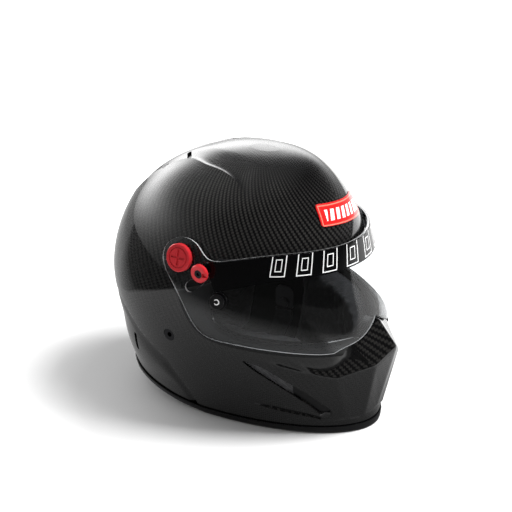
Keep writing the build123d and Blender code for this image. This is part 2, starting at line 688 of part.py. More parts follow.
def eps_liner():
    """Foam liner of crown, back and sides, with pockets for what passes the shell."""
    body = (dome(-EPS_OUTER) - dome(-EPS_INNER)) & side_prism(EPS_RUNS)
    floor = dome(-SHELL_WALL - GAP - HUB_NUT_WALL - GAP)
    hub_pocket = on_right(rod(HUB_NUT_RADIUS + GAP, 2 * OVERRUN, -OVERRUN), hub_x, PIVOT_Y, PIVOT_Z) - floor
    latch_pocket = rod(LATCH_NUT_RADIUS + GAP, 2 * OVERRUN, -OVERRUN)
    latch_pocket = on_right(latch_pocket, latch_x, latch_y, latch_z) - floor
    crown_pocket = crown_screen_area(SCREEN_BORDER + GAP) - dome(-EPS_OUTER - SCREEN_WALL - GAP)
    for cut in (hub_pocket, latch_pocket, crown_pocket):
        for side in across(cut):
            body -= side
    return body


def comfort_liner():
    """Padded crown and back liner inside the foam."""
    layer = dome(-EPS_INNER - GAP) - dome(-COMFORT_INNER)
    low = BROW_LEVEL * SHELL_HEIGHT + COMFORT_INSET
    reach = SHELL_HEIGHT
    front = block((-reach, -reach, low), (reach, COMFORT_INSET, reach + OVERRUN))
    side_low = SIDE_LEVEL * SHELL_HEIGHT
    back = block((-reach, COMFORT_INSET, side_low), (reach, reach, reach + OVERRUN))
    return layer & (front + back)


def chin_liner():
    """Foam of the chin bar."""
    layer = dome(-CHEEK_OUTER) - dome(-CHIN_LINER_INNER)
    reach = SHELL_HEIGHT
    area = block((-reach, -reach, CHIN_LINER_LOW), (reach, -CHIN_LINER_BACK, CHIN_LINER_TOP))
    return layer & area


def cheek_pad():
    """Right-hand cheek pad."""
    layer = dome(-CHEEK_OUTER) - dome(-CHEEK_INNER)
    return (side_prism(CHEEK_RUNS) & layer) & right_half()


def neck_pad():
    """Padded roll round the back of the neck opening."""
    layer = dome(-NECK_OUTER) - dome(-NECK_INNER)
    reach = SHELL_HEIGHT
    return layer & block((-reach, NECK_FRONT, NECK_LOW), (reach, reach, NECK_TOP))


def pad_snaps():
    """Press studs between the right-hand cheek pad and the shell."""
    studs = []
    for y_share, z_share in PAD_SNAP_SHARES:
        y, z = y_share * FRONT_REACH, z_share * SHELL_HEIGHT
        x = surface_x(y, z)
        stud = on_right(rod(PAD_SNAP_RADIUS, OVERRUN, -OVERRUN), x, y, z)
        studs.append(stud & (dome(-SHELL_WALL - GAP) - dome(-CHEEK_OUTER + GAP)))
    return Compound([solid for stud in studs for solid in stud.solids()])


def rear_screen():
    """Screen behind the right-hand rear slot."""
    disc = rod(REAR_SLOT_LENGTH * 0.62, 2 * OVERRUN, -OVERRUN)
    return screen(on_right(disc, surface_x(REAR_SLOT_Y, REAR_SLOT_Z), REAR_SLOT_Y, REAR_SLOT_Z))


def strap_rivet():
    """Rivet on the inside of the right-hand shell, holding the strap tab."""
    x = surface_x(STRAP_Y, STRAP_Z)
    body = on_right(rod(RIVET_PLATE_RADIUS, OVERRUN, -OVERRUN), x, STRAP_Y, STRAP_Z)
    body &= dome(-SHELL_WALL - GAP) - dome(-SHELL_WALL - GAP - RIVET_PLATE_WALL)
    inner = STRAP_INSET + TAB_WALL + GAP
    shank = on_right(rod(RIVET_RADIUS, OVERRUN, -inner), x, STRAP_Y, STRAP_Z) & dome(-SHELL_WALL - GAP)
    head = rod(RIVET_HEAD_RADIUS, RIVET_HEAD_WALL, -inner - RIVET_HEAD_WALL)
    return body + shank + on_right(head, x, STRAP_Y, STRAP_Z)


def strap_tab():
    """Steel tab that swings on the right-hand rivet."""
    length = TAB_ABOVE + TAB_BELOW
    plate = Pos(0, (TAB_ABOVE - TAB_BELOW) / 2) * RectangleRounded(TAB_WIDTH, length, TAB_ABOVE - GAP)
    plate = extrude(plate, TAB_WALL) - rod(RIVET_RADIUS + RUNNING_GAP, OVERRUN, -OVERRUN / 2)
    x = surface_x(STRAP_Y, STRAP_Z) - STRAP_INSET - TAB_WALL
    return on_right(plate, x, STRAP_Y, STRAP_Z)


def webbing_points():
    """Start, bend and end of the right-hand webbing's middle line, as (x, z)."""
    x = -(surface_x(STRAP_Y, STRAP_Z) - STRAP_INSET - TAB_WALL - SKIN_GAP - WEBBING_WALL / 2)
    bend = STRAP_Z - WEBBING_BEND
    return (x, STRAP_Z - WEBBING_START), (x, bend), (x + WEBBING_REACH, bend - WEBBING_DROP)


def webbing():
    """Right-hand webbing, flat against the tab and then slanting in under the jaw."""
    points = webbing_points()
    line = FilletPolyline(*[(x, z) for x, z in points], radius=WEBBING_BEND_RADIUS)
    face = Plane.XZ * trace(line, WEBBING_WALL)
    return Pos(0, STRAP_Y, 0) * extrude(face, amount=WEBBING_WIDTH / 2, both=True)


def strap_plane():
    """Frame at the end of the right-hand webbing: X along it, Z away from the jaw, Y across."""
    _, bend, end = webbing_points()
    along = Vector(end[0] - bend[0], 0, end[1] - bend[1]).normalized()
    return Plane(origin=(end[0], STRAP_Y, end[1]), x_dir=along, z_dir=along.cross(Vector(0, 1, 0)))


def ring_holes():
    """Both bar holes through the strap loop, along the strap's width."""
    hole = Rot(90, 0, 0) * Cylinder(RING_WIRE / 2 + RUNNING_GAP, OVERRUN)
    return [Pos(LOOP_LENGTH / 2, 0, side * RING_SPACING / 2) * hole for side in (1, -1)]


def strap_loop():
    """Folded end of the ring strap, round the bars of both rings."""
    height = RING_SPACING + RING_WIRE + LOOP_THICKNESS / 2
    block_size = (LOOP_LENGTH, WEBBING_WIDTH, height)
    body = fillet(Box(*block_size).edges().filter_by(Axis.Y), height / 3)
    body = Pos(LOOP_LENGTH / 2 + SKIN_GAP, 0, 0) * body
    for hole in ring_holes():
        body -= hole
    return strap_plane() * body


def d_ring(side):
    """Wire ring with a straight bar in the strap loop."""
    half = RING_WIDTH / 2
    corners = [(0, -half), (RING_DROP, -half), (RING_DROP, half), (0, half)]
    path = FilletPolyline(*corners, radius=RING_CORNER, close=True)
    start = Plane(origin=path @ 0, z_dir=path % 0)
    wire = sweep(start * Circle(RING_WIRE / 2), path=path)
    return strap_plane() * Pos(LOOP_LENGTH / 2, 0, side * RING_SPACING / 2) * wire


def strap_snap():
    """Press stud on the end of the plain strap."""
    body = rod(SNAP_RADIUS, SNAP_HEIGHT, WEBBING_WALL / 2 + SKIN_GAP)
    return strap_plane() * Pos(-SNAP_RADIUS - SNAP_HEIGHT, 0, 0) * body


# Place that depends on the turning shield
latch_knob_x = swept_face_x(LATCH_KNOB_RADIUS, latch_y, latch_z) + KNOB_LIFT

parts = {}
if __name__ == "__main__":
    parts["outer_shell"] = outer_shell()
    parts["base_trim"] = base_trim()
    parts["eyeport_gasket"] = eyeport_gasket()
    parts["visor_shield"] = visor_shield()
    parts["visor_strip"] = visor_strip()
    parts["forehead_badge"] = badge()
    parts["eps_liner"] = eps_liner()
    parts["comfort_liner"] = comfort_liner()
    parts["chin_liner"] = chin_liner()
    parts["neck_pad"] = neck_pad()
    both_sides("cheek_pad", cheek_pad(), parts)
    both_sides("pivot_hub", hub(), parts)
    both_sides("pivot_knob", pivot_knob(), parts)
    both_sides("latch_stud", latch_stud(), parts)
    both_sides("latch_knob", latch_knob(), parts)
    both_sides("latch_screw", latch_screw(), parts)
    both_sides("tearoff_post", tearoff_post(), parts)
    both_sides("tearoff_nut", tearoff_nut(), parts)
    both_sides("fhr_insert", fhr_insert(), parts)
    both_sides("chin_screen", screen(side_prism(SCOOP_SCREEN_RUNS) & right_half()), parts)
    both_sides("rear_screen", rear_screen(), parts)
    both_sides("cheek_snaps", pad_snaps(), parts)
    both_sides("strap_rivet", strap_rivet(), parts)
    both_sides("strap_tab", strap_tab(), parts)
    both_sides("chin_strap", webbing(), parts)
    parts["strap_snap"] = strap_snap()
    parts["strap_loop"] = mirror(strap_loop(), about=Plane.YZ)
    parts["ring_lower"] = mirror(d_ring(-1), about=Plane.YZ)
    parts["ring_upper"] = mirror(d_ring(1), about=Plane.YZ)
    both_sides("crown_screen", screen(crown_screen_area(SCREEN_BORDER)), parts)
    for name, shape in parts.items():
        solids = shape.solids()
        print(name, len(solids), "solids", round(sum(s.volume for s in solids)), "mm3")
        export_step(shape, "parts/" + name + ".step")
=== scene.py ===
"""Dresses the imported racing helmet: carbon shell, clear shield, rubber, linings and studio.

Lengths in tables and functions are millimetres; meshes are written in metres.
"""
import math

import bpy
import numpy as np
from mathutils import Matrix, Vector


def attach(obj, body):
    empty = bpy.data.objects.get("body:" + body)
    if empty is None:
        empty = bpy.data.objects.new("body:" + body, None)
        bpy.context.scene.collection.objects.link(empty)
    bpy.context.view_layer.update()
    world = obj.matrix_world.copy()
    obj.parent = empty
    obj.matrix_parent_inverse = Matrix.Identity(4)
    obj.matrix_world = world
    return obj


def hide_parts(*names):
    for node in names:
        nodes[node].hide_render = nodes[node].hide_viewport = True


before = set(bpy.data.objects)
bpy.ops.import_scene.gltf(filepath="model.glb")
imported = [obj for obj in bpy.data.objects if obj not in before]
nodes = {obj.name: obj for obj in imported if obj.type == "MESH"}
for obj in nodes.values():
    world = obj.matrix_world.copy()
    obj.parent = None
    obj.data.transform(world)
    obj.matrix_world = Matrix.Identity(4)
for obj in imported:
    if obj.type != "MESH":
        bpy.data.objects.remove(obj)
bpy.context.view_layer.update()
MM = 0.001
SIDES = (("_right", -1), ("_left", 1))

# Dome: overall sizes, roundness of its rings, then level, half width, front, rear and middle of each
# ring as shares, and the share of a growth that goes sideways there
HEIGHT, HALF, FRONT, REAR, WIDEST = 282.0, 118.5, 145.5, 167.0, 23.0
ROUND_FRONT, ROUND_REAR = 2.0, 2.15
SHELL_WALL = 3.0
RINGS = np.array([
    (-0.070, 0.570, 0.966, 0.863, 1.00, 1.00),
    (0.000, 0.658, 0.983, 0.874, 1.00, 1.00),
    (0.167, 0.852, 1.000, 0.901, 1.00, 1.00),
    (0.333, 0.962, 0.983, 0.949, 1.00, 1.00),
    (0.486, 1.000, 0.904, 1.000, 1.00, 1.00),
    (0.635, 0.932, 0.821, 0.967, 1.00, 1.00),
    (0.766, 0.823, 0.739, 0.859, 0.96, 1.00),
    (0.865, 0.684, 0.632, 0.698, 0.78, 0.85),
    (0.936, 0.515, 0.515, 0.506, 0.43, 0.66),
    (0.979, 0.346, 0.392, 0.311, 0.09, 0.45),
    (0.995, 0.203, 0.254, 0.156, -0.17, 0.27),
    (1.000, 0.076, 0.137, 0.054, -0.24, 0.10),
])
# Room that the shield gains over the upper rings
EASE = 2.8 * np.array([0, 0, 0, 0, 0, 0.36, 1, 1, 1, 1, 1, 1])

# Chin prow on the +X side: its core, and its corners as shares of half width, front reach and height
CORE = np.array((0.0, -0.412, 0.213)) * (HALF, FRONT, HEIGHT)
PROW = {
    "peak": (0.000, -0.992, 0.437), "tip": (0.000, -1.147, 0.343), "foot": (0.000, -1.006, 0.076),
    "front_top": (0.203, -1.078, 0.289), "front_foot": (0.165, -0.976, 0.058),
    "side_top": (0.473, -0.887, 0.257), "side_foot": (0.312, -0.900, 0.062),
    "ridge_mid": (0.589, -0.775, 0.277), "ridge_low": (0.765, -0.552, 0.318),
    "ridge_end": (0.872, -0.289, 0.351), "lower_mid": (0.436, -0.760, 0.064),
    "lower_end": (0.640, -0.540, 0.170), "seat_peak": (0.000, -0.895, 0.437),
    "seat_near": (0.109, -0.965, 0.412),
    "seat_front": (0.300, -0.920, 0.379), "seat_corner": (0.430, -0.830, 0.342),
    "seat_mid": (0.734, -0.564, 0.356), "seat_end": (0.895, -0.213, 0.372),
}
FACETS = [names.split() for names in (
    "foot front_foot front_top tip",
    "front_foot side_foot side_top front_top",
    "side_foot lower_mid ridge_mid side_top",
    "lower_mid lower_end ridge_low ridge_mid",
    "lower_end ridge_end ridge_low",
    "tip front_top seat_front seat_near peak",
    "front_top side_top seat_corner seat_front",
    "side_top ridge_mid seat_mid seat_corner",
    "ridge_mid ridge_low seat_end seat_mid",
    "ridge_low ridge_end seat_end",
    "peak seat_near seat_front seat_peak",
)]

# Side outlines as runs of (share of front reach, share of height); a run of two points is straight
EYEPORT = (
    ((-1.375, 0.72), (-0.412, 0.702)),
    ((-0.412, 0.702), (-0.179, 0.674), (-0.11, 0.582), (-0.137, 0.461), (-0.289, 0.422)),
    ((-0.289, 0.422), (-0.605, 0.401)), ((-0.605, 0.401), (-1.375, 0.387)),
)
SHIELD = (
    ((-1.375, 0.722), (-0.79, 0.734)),
    ((-0.79, 0.734), (-0.506, 0.732), (-0.346, 0.72), (-0.15, 0.697)),
    ((-0.15, 0.697), (-0.06, 0.7), (0.03, 0.74), (0.155, 0.757), (0.27, 0.727), (0.305, 0.68),
     (0.265, 0.628)),
    ((0.265, 0.628), (0.151, 0.561), (0.073, 0.501), (0.023, 0.459), (-0.045, 0.421), (-0.241, 0.398)),
    ((-0.241, 0.398), (-0.598, 0.378), (-0.815, 0.362)), ((-0.815, 0.362), (-1.375, 0.352)),
)
# Notch of the shield over the chin, seen from the front, as shares of half width and height
NOTCH = (
    ((-0.56, 0.33), (-0.48, 0.363), (-0.307, 0.385), (-0.109, 0.418), (0.0, 0.447)),
    ((0.0, 0.447), (0.109, 0.418), (0.307, 0.385), (0.48, 0.363), (0.56, 0.33)),
)
STRIP = (
    ((-1.375, 0.649), (-0.795, 0.649)),
    ((-0.795, 0.649), (-0.538, 0.641), (-0.35, 0.62), (-0.137, 0.588)),
    ((-0.137, 0.588), (-0.045, 0.683)), ((-0.045, 0.683), (-0.15, 0.693)),
    ((-0.15, 0.693), (-0.346, 0.715), (-0.506, 0.727), (-0.79, 0.73)),
    ((-0.79, 0.73), (-1.375, 0.718)),
)
GASKET = (
    ((-1.375, 0.712), (-0.344, 0.708)), ((-0.344, 0.708), (-0.11, 0.694)),
    ((-0.11, 0.7), (-0.075, 0.61)),
    ((-0.075, 0.61), (0.186, 0.556)), ((0.186, 0.556), (0.1, 0.468), (-0.021, 0.403), (-0.247, 0.376)),
    ((-0.247, 0.376), (-0.605, 0.356)), ((-0.605, 0.356), (-0.88, 0.34)),
    ((-0.88, 0.34), (-1.375, 0.34)),
)
SCOOP = (
    ((-0.31, 0.317), (-0.424, 0.3), (-0.541, 0.257), (-0.65, 0.211), (-0.735, 0.166), (-0.786, 0.132)),
    ((-0.786, 0.132), (-0.815, 0.096), (-0.762, 0.096)),
    ((-0.762, 0.096), (-0.679, 0.152), (-0.573, 0.203), (-0.459, 0.252), (-0.38, 0.285), (-0.31, 0.317)),
)
LIP = ((-0.3, 0.322), (-0.358, 0.293), (-0.496, 0.238), (-0.606, 0.187), (-0.709, 0.128), (-0.78, 0.066))
CHANNEL = (
    ((-0.3, 0.323), (-0.424, 0.304), (-0.541, 0.262), (-0.65, 0.216), (-0.735, 0.171), (-0.79, 0.134)),
    ((-0.79, 0.134), (-0.825, 0.092), (-0.78, 0.066)),
    tuple(reversed(LIP)),
)
FOLD = ((-0.25, 0.131), (-0.327, 0.123), (-0.454, 0.107), (-0.578, 0.093), (-0.695, 0.078),
        (-0.785, 0.06))
SKIRT = (
    ((1.4, 0.454), (1.146, 0.454)),
    ((1.146, 0.454), (0.763, 0.397), (0.596, 0.328), (0.447, 0.28), (0.327, 0.242)),
    ((0.327, 0.242), (0.261, 0.184), (0.199, 0.115), (0.165, -0.035)), ((0.165, -0.035), (1.4, -0.035)),
)
# Crown crease seen from above, as shares of half width and front reach
CREASE = (
    (0.352, 0.91), (0.334, 0.778), (0.306, 0.594), (0.307, 0.459), (0.405, 0.248), (0.462, 0.046),
    (0.508, -0.075), (0.554, -0.153), (0.586, -0.235),
)
RIM = ((-1.4, 0.0), (0.13, 0.0), (0.38, 0.016), (0.7, 0.05), (1.05, 0.078), (1.4, 0.1))
CROWN_LEVEL, TOP_MARGIN = 165.0, 0.05
FOLD_WIDTH, GROOVE_WIDTH = 1.2, 1.3
TRIM_SEAT = 2.8

# Crown slots as x, y, half length and half width; the rest as y and z in the side view, then a radius
CROWN_SLOTS = ((24.5, 74.0, 11.5, 2.4), (32.0, 99.0, 9.0, 2.3))
PIVOT, LATCH, INSERT, POST = (22.0, 193.5), (-7.742, 186.305), (38.0, 103.0), (-26.0, 158.0)
HOLES = ((*INSERT, 6.9), (*PIVOT, 10.3), (*LATCH, 4.9))
LATCH_RADIUS, SLOT_ANGLES, SLOT_HALF_WIDTH = 30.6, (190.6, 241.6), 5.5

# Shield and film above the shell, forehead plate, webbing line as (x, z), and cushions as voxel,
# most swelling and fill
SHIELD_LIFT, SHIELD_WALL, STRIP_WALL = 5.5, 2.3, 0.3
BADGE_HALF_WIDE, BADGE_HALF_TALL, BADGE_WALL = 34.5, 10.4, 1.0
BADGE_LEVEL, BADGE_TILT, BADGE_SHEAR, BADGE_SHIFT = 232.0, -0.09, 0.2, 2.0
STRAP_LINE = ((-90.65, 55.0), (-90.65, 44.0), (-67.652, 22.0))
STRAP_BEND, STRAP_Y, STRAP_WIDTH = 3.4, 27.0, 22.0
CUSHIONS = (("cheek_pad_right", 3.5, 4.0, 0.7), ("cheek_pad_left", 3.5, 4.0, 0.7),
            ("neck_pad", 4.0, 3.0, 0.6), ("chin_liner", 3.0, 1.5, 0.5), ("comfort_liner", 5.0, 1.5, 0.5))


def cubic(t, y, x):
    """Natural cubic spline through (t, y), read at x."""
    n, h = len(t), np.diff(t)
    a, b = np.eye(n), np.zeros(n)
    for i in range(1, n - 1):
        a[i, i - 1:i + 2] = h[i - 1], 2 * (h[i - 1] + h[i]), h[i]
        b[i] = 6 * ((y[i + 1] - y[i]) / h[i] - (y[i] - y[i - 1]) / h[i - 1])
    m = np.linalg.solve(a, b)
    k = np.clip(np.searchsorted(t, x) - 1, 0, n - 2)
    d, e, w = x - t[k], t[k + 1] - x, h[k]
    return (m[k] * e ** 3 + m[k + 1] * d ** 3) / (6 * w) + (y[k] / w - m[k] * w / 6) * e + \
        (y[k + 1] / w - m[k + 1] * w / 6) * d


def stations(grow, eased=False):
    """Height, half width, front reach, rear reach and middle of each ring of the grown dome."""
    level, width, front, rear, middle, sideways = RINGS.T
    out = grow * sideways
    ease = EASE if eased else 0.0
    return np.array((level * (HEIGHT + grow), width * HALF + out + ease, front * FRONT + out,
                     rear * REAR + out, middle * WIDEST))


def profile(grow, eased=False, count=1200):
    """Dense table of the same five values up the dome, evenly spaced along its side."""
    knots = stations(grow, eased)
    steps = np.sqrt(np.diff(knots[0]) ** 2 + np.mean(np.diff(knots[1:4]) ** 2, axis=0))
    t = np.concatenate(([0.0], np.cumsum(steps)))
    x = np.linspace(0, t[-1], count)
    return np.array([cubic(t, row, x) for row in knots])


def place(table, z, angle):
    """Points on a dome at heights and angles; angle -90 degrees is the front."""
    width, front, rear, middle = (np.interp(z, table[0], row) for row in table[1:])
    c, s = np.cos(angle), np.sin(angle)
    power = np.where(s > 0, 2 / ROUND_REAR, 2 / ROUND_FRONT)
    reach = np.where(s > 0, rear - middle, -(front + middle))
    x = width * np.sign(c) * np.abs(c) ** power
    y = middle + reach * np.abs(s) ** power
    return np.stack(np.broadcast_arrays(x, y, z), axis=-1)


def rim_height(y):
    """Height of the shell's lower edge at each y."""
    ys, zs = np.array(RIM).T
    return np.interp(y, ys * FRONT, zs * HEIGHT)


def trace(runs, scale):
    """Dense closed outline from runs of shares."""
    points = []
    for run in runs:
        run = np.array(run) * scale
        if len(run) == 2:
            points.append(np.linspace(run[0], run[1], 12)[:-1])
            continue
        t = np.concatenate(([0.0], np.cumsum(np.linalg.norm(np.diff(run, axis=0), axis=1))))
        x = np.linspace(0, t[-1], 12 * len(run))[:-1]
        points.append(np.stack([cubic(t, run[:, i], x) for i in (0, 1)], axis=1))
    points.append(np.array([runs[-1][-1]]) * scale)
    return np.concatenate(points)


def segment_gap(points, a, b):
    """Vectors to plane points from the nearest spot of a segment."""
    edge = b - a
    share = np.clip(((points - a) @ edge) / max(edge @ edge, 1e-12), 0, 1)
    return points - a - share[:, None] * edge


def inside(points, outline):
    """Signed distance to a closed outline in the plane, positive inside."""
    best = np.full(len(points), 1e9)
    odd = np.zeros(len(points), bool)
    for a, b in zip(outline, np.roll(outline, -1, axis=0)):
        best = np.minimum(best, np.linalg.norm(segment_gap(points, a, b), axis=1))
        run, rise = b - a
        if abs(rise) > 1e-12:
            crosses = (a[1] > points[:, 1]) != (b[1] > points[:, 1])
            odd ^= crosses & (points[:, 0] < a[0] + (points[:, 1] - a[1]) * run / rise)
    return np.where(odd, best, -best)


SIDE = (FRONT, HEIGHT)
LINES = {name: trace(runs, SIDE) for name, runs in dict(
    eyeport=EYEPORT, shield=SHIELD, strip=STRIP, gasket=GASKET, scoop=SCOOP, skirt=SKIRT, channel=CHANNEL,
    lip=(LIP,), fold=(FOLD,)).items()}
LINES["notch"] = trace(NOTCH, (HALF, HEIGHT))
LINES["crease"] = trace((CREASE,), (HALF, FRONT))


def side(name):
    """Distance function of a side outline, positive inside."""
    return lambda v: inside(v[:, 1:3], LINES[name])


def outside(name):
    """Distance function of a side outline, positive outside."""
    return lambda v: -inside(v[:, 1:3], LINES[name])


def split(verts, faces, func, keep=1):
    """Cut a mesh along func = 0, keeping the positive part, or both parts when keep is 0."""
    f = func(verts)
    f = np.where(np.abs(f) < 1e-4, 1e-4, f)
    out, extra, cuts = [], [], {}
    positive = f > 0
    for face in faces:
        signs = [positive[i] for i in face]
        if all(signs) or (keep == 0 and not any(signs)):
            out.append(face)
            continue
        if not any(signs):
            continue
        above, below = [], []
        for a, b in zip(face, face[1:] + face[:1]):
            (above if positive[a] else below).append(a)
            if positive[a] != positive[b]:
                key = (min(a, b), max(a, b))
                if key not in cuts:
                    share = f[a] / (f[a] - f[b])
                    cuts[key] = len(verts) + len(extra)
                    extra.append(verts[a] + (verts[b] - verts[a]) * share)
                above.append(cuts[key])
                below.append(cuts[key])
        out.append(above)
        if keep == 0:
            out.append(below)
    if extra:
        verts = np.concatenate((verts, extra))
    return verts, out


def tidy(verts, faces):
    """Drop the vertices that no face uses."""
    used = np.unique([i for face in faces for i in face])
    index = {old: new for new, old in enumerate(used.tolist())}
    return verts[used], [[index[i] for i in face] for face in faces]


def cut(verts, faces, *funcs):
    """Keep the part of a mesh where every function is positive."""
    for func in funcs:
        verts, faces = split(verts, faces, func)
    return tidy(verts, faces)


def columns(fine, coarse):
    """Angles round a ring with a fine step at the front and a coarse one at the back."""
    table = profile(0)
    angle = np.linspace(-math.pi / 2, math.pi / 2, 4001)
    ring = place(table, np.full(len(angle), 60.0), angle)
    along = np.concatenate(([0.0], np.cumsum(np.linalg.norm(np.diff(ring, axis=0), axis=1))))
    blend = np.clip((ring[:, 1] + 20) / 90, 0, 1)
    density = (1 - blend) / fine + blend / coarse
    total = np.concatenate(([0.0], np.cumsum(np.diff(along) * density[1:])))
    half = np.interp(np.linspace(0, total[-1], int(total[-1]) + 1), total, angle)
    arc = np.interp(half, angle, along)
    full = np.concatenate((half, math.pi - half[-2:0:-1]))
    return full, np.concatenate((arc, arc[-2:0:-1]))


def rows(low, high, fine, coarse):
    """Heights up the dome with a fine step low down and a coarse one higher."""
    middle = 135.0
    table = profile(0, count=4000)
    steps = np.sqrt(np.sum(np.diff(table[:3], axis=1) ** 2, axis=0))
    density = np.where(table[0, 1:] < middle, 1 / fine, 1 / coarse)
    total = np.concatenate(([0.0], np.cumsum(steps * density)))
    start, end = np.interp((low, high), table[0], total)
    return np.interp(np.linspace(start, end, int(end - start)), total, table[0])


def quads(r, c, wrap=False, ring=False):
    """Faces of a grid of r rows and c columns; each row may wrap round, and the last meet the first."""
    return [[i * c + j, i * c + (j + 1) % c, (i + 1) % r * c + (j + 1) % c, (i + 1) % r * c + j]
            for i in range(r if ring else r - 1) for j in range(c if wrap else c - 1)]


def sheet_grid(table, zs, angles, arcs, scale=1.0, closed_top=False):
    """Grid of points with two more columns: distance from the front and height along the side."""
    z, a = np.meshgrid(zs * scale, angles, indexing="ij")
    points = place(table, z, a)
    base = profile(0)
    climb = np.concatenate(([0.0], np.cumsum(np.sqrt(np.sum(np.diff(base[:2], axis=1) ** 2, axis=0)))))
    up = np.interp(zs, base[0], climb)
    extra = np.stack(np.broadcast_arrays(arcs[None, :], up[:, None]), axis=-1)
    verts = np.concatenate((points, extra), axis=-1).reshape(-1, 5)
    r, c = len(zs), len(angles)
    faces = quads(r, c, wrap=True)
    if closed_top:
        top = verts[-c:].mean(axis=0)
        top[2] += 0.2
        verts = np.concatenate((verts, [top]))
        faces += [[(r - 1) * c + j, (r - 1) * c + (j + 1) % c, r * c] for j in range(c)]
    return verts, faces


def dome(grow, across, heights, eased=False, closed_top=False, scale=None):
    """Grid over a stretch of the grown dome, with steps (front, back) and heights (low, high, steps)."""
    angles, arcs = columns(*across)
    scale = scale or (HEIGHT + grow) / HEIGHT
    return sheet_grid(profile(grow, eased), rows(*heights), angles, arcs, scale, closed_top)


def link(name, data):
    """New object in the scene."""
    obj = bpy.data.objects.new(name, data)
    bpy.context.scene.collection.objects.link(obj)
    return obj


def make(name, verts, faces, material, body, node=None, smooth=40):
    """Piece from a mesh in millimetres, riding on a body; columns past the third become attributes."""
    mesh = bpy.data.meshes.new(name)
    mesh.from_pydata((verts[:, :3] * MM).tolist(), [], faces)
    mesh.validate()
    for label, column in zip(("around", "up"), verts[:, 3:5].T):
        layer = mesh.attributes.new(label, "FLOAT", "POINT")
        layer.data.foreach_set("value", np.ascontiguousarray(column, dtype=np.float32))
    mesh.shade_smooth()
    mesh.set_sharp_from_angle(angle=math.radians(smooth))
    mesh.materials.append(material)
    obj = link(name, mesh)
    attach(obj, body)
    if node:
        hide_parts(node)
    return obj


def world_points(obj):
    """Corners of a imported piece, in millimetres."""
    return np.array([(obj.matrix_world @ v.co)[:] for v in obj.data.vertices]) / MM


def normals(verts, faces):
    """Normals at the corners of a mesh."""
    mesh = bpy.data.meshes.new("scratch")
    mesh.from_pydata(verts[:, :3].tolist(), [], faces)
    mesh.update()
    out = np.empty(len(mesh.vertices) * 3)
    mesh.vertex_normals.foreach_get("vector", out)
    bpy.data.meshes.remove(mesh)
    return out.reshape(-1, 3)


def rim_edges(faces):
    """Directed boundary edges of a mesh."""
    seen = {}
    for face in faces:
        for a, b in zip(face, face[1:] + face[:1]):
            seen[(a, b)] = True
    return [(a, b) for a, b in seen if (b, a) not in seen]


def turned_in(verts, faces, depth, normal):
    """Add a lip that turns inwards along every open edge."""
    edges = rim_edges(faces)
    ring = sorted({i for edge in edges for i in edge})
    inner = verts[ring].copy()
    inner[:, :3] -= normal[ring] * depth
    index = {old: len(verts) + k for k, old in enumerate(ring)}
    verts = np.concatenate((verts, inner))
    return verts, faces + [[b, a, index[a], index[b]] for a, b in edges]


def thick(verts, faces, depth):
    """Closed sheet: the given surface, a copy behind it and walls between."""
    normal = normals(verts, faces)
    back = verts.copy()
    back[:, :3] -= normal * depth
    n = len(verts)
    walls = [[b, a, a + n, b + n] for a, b in rim_edges(faces)]
    behind = [[i + n for i in reversed(face)] for face in faces]
    return np.concatenate((verts, back)), faces + behind + walls


def smooth_step(x):
    """Soft step from 0 to 1."""
    x = np.clip(x, 0, 1)
    return x * x * (3 - 2 * x)


def operator(kind, swapped=False):
    """Method that adds one math node."""
    def apply(self, other=0.0):
        pair = (other, self) if swapped else (self, other)
        return self.graph.math(kind, *pair)
    return apply


class Number:
    """Output in a node graph; arithmetic on it adds math nodes."""

    __add__ = __radd__ = operator("ADD")
    __mul__ = __rmul__ = operator("MULTIPLY")
    __sub__ = operator("SUBTRACT")
    __rsub__ = operator("SUBTRACT", swapped=True)
    __truediv__ = operator("DIVIDE")
    __pow__ = operator("POWER")
    __lt__ = operator("LESS_THAN")
    __gt__ = operator("GREATER_THAN")
    __abs__ = operator("ABSOLUTE")

    def __init__(self, graph, socket):
        self.graph = graph
        self.socket = socket


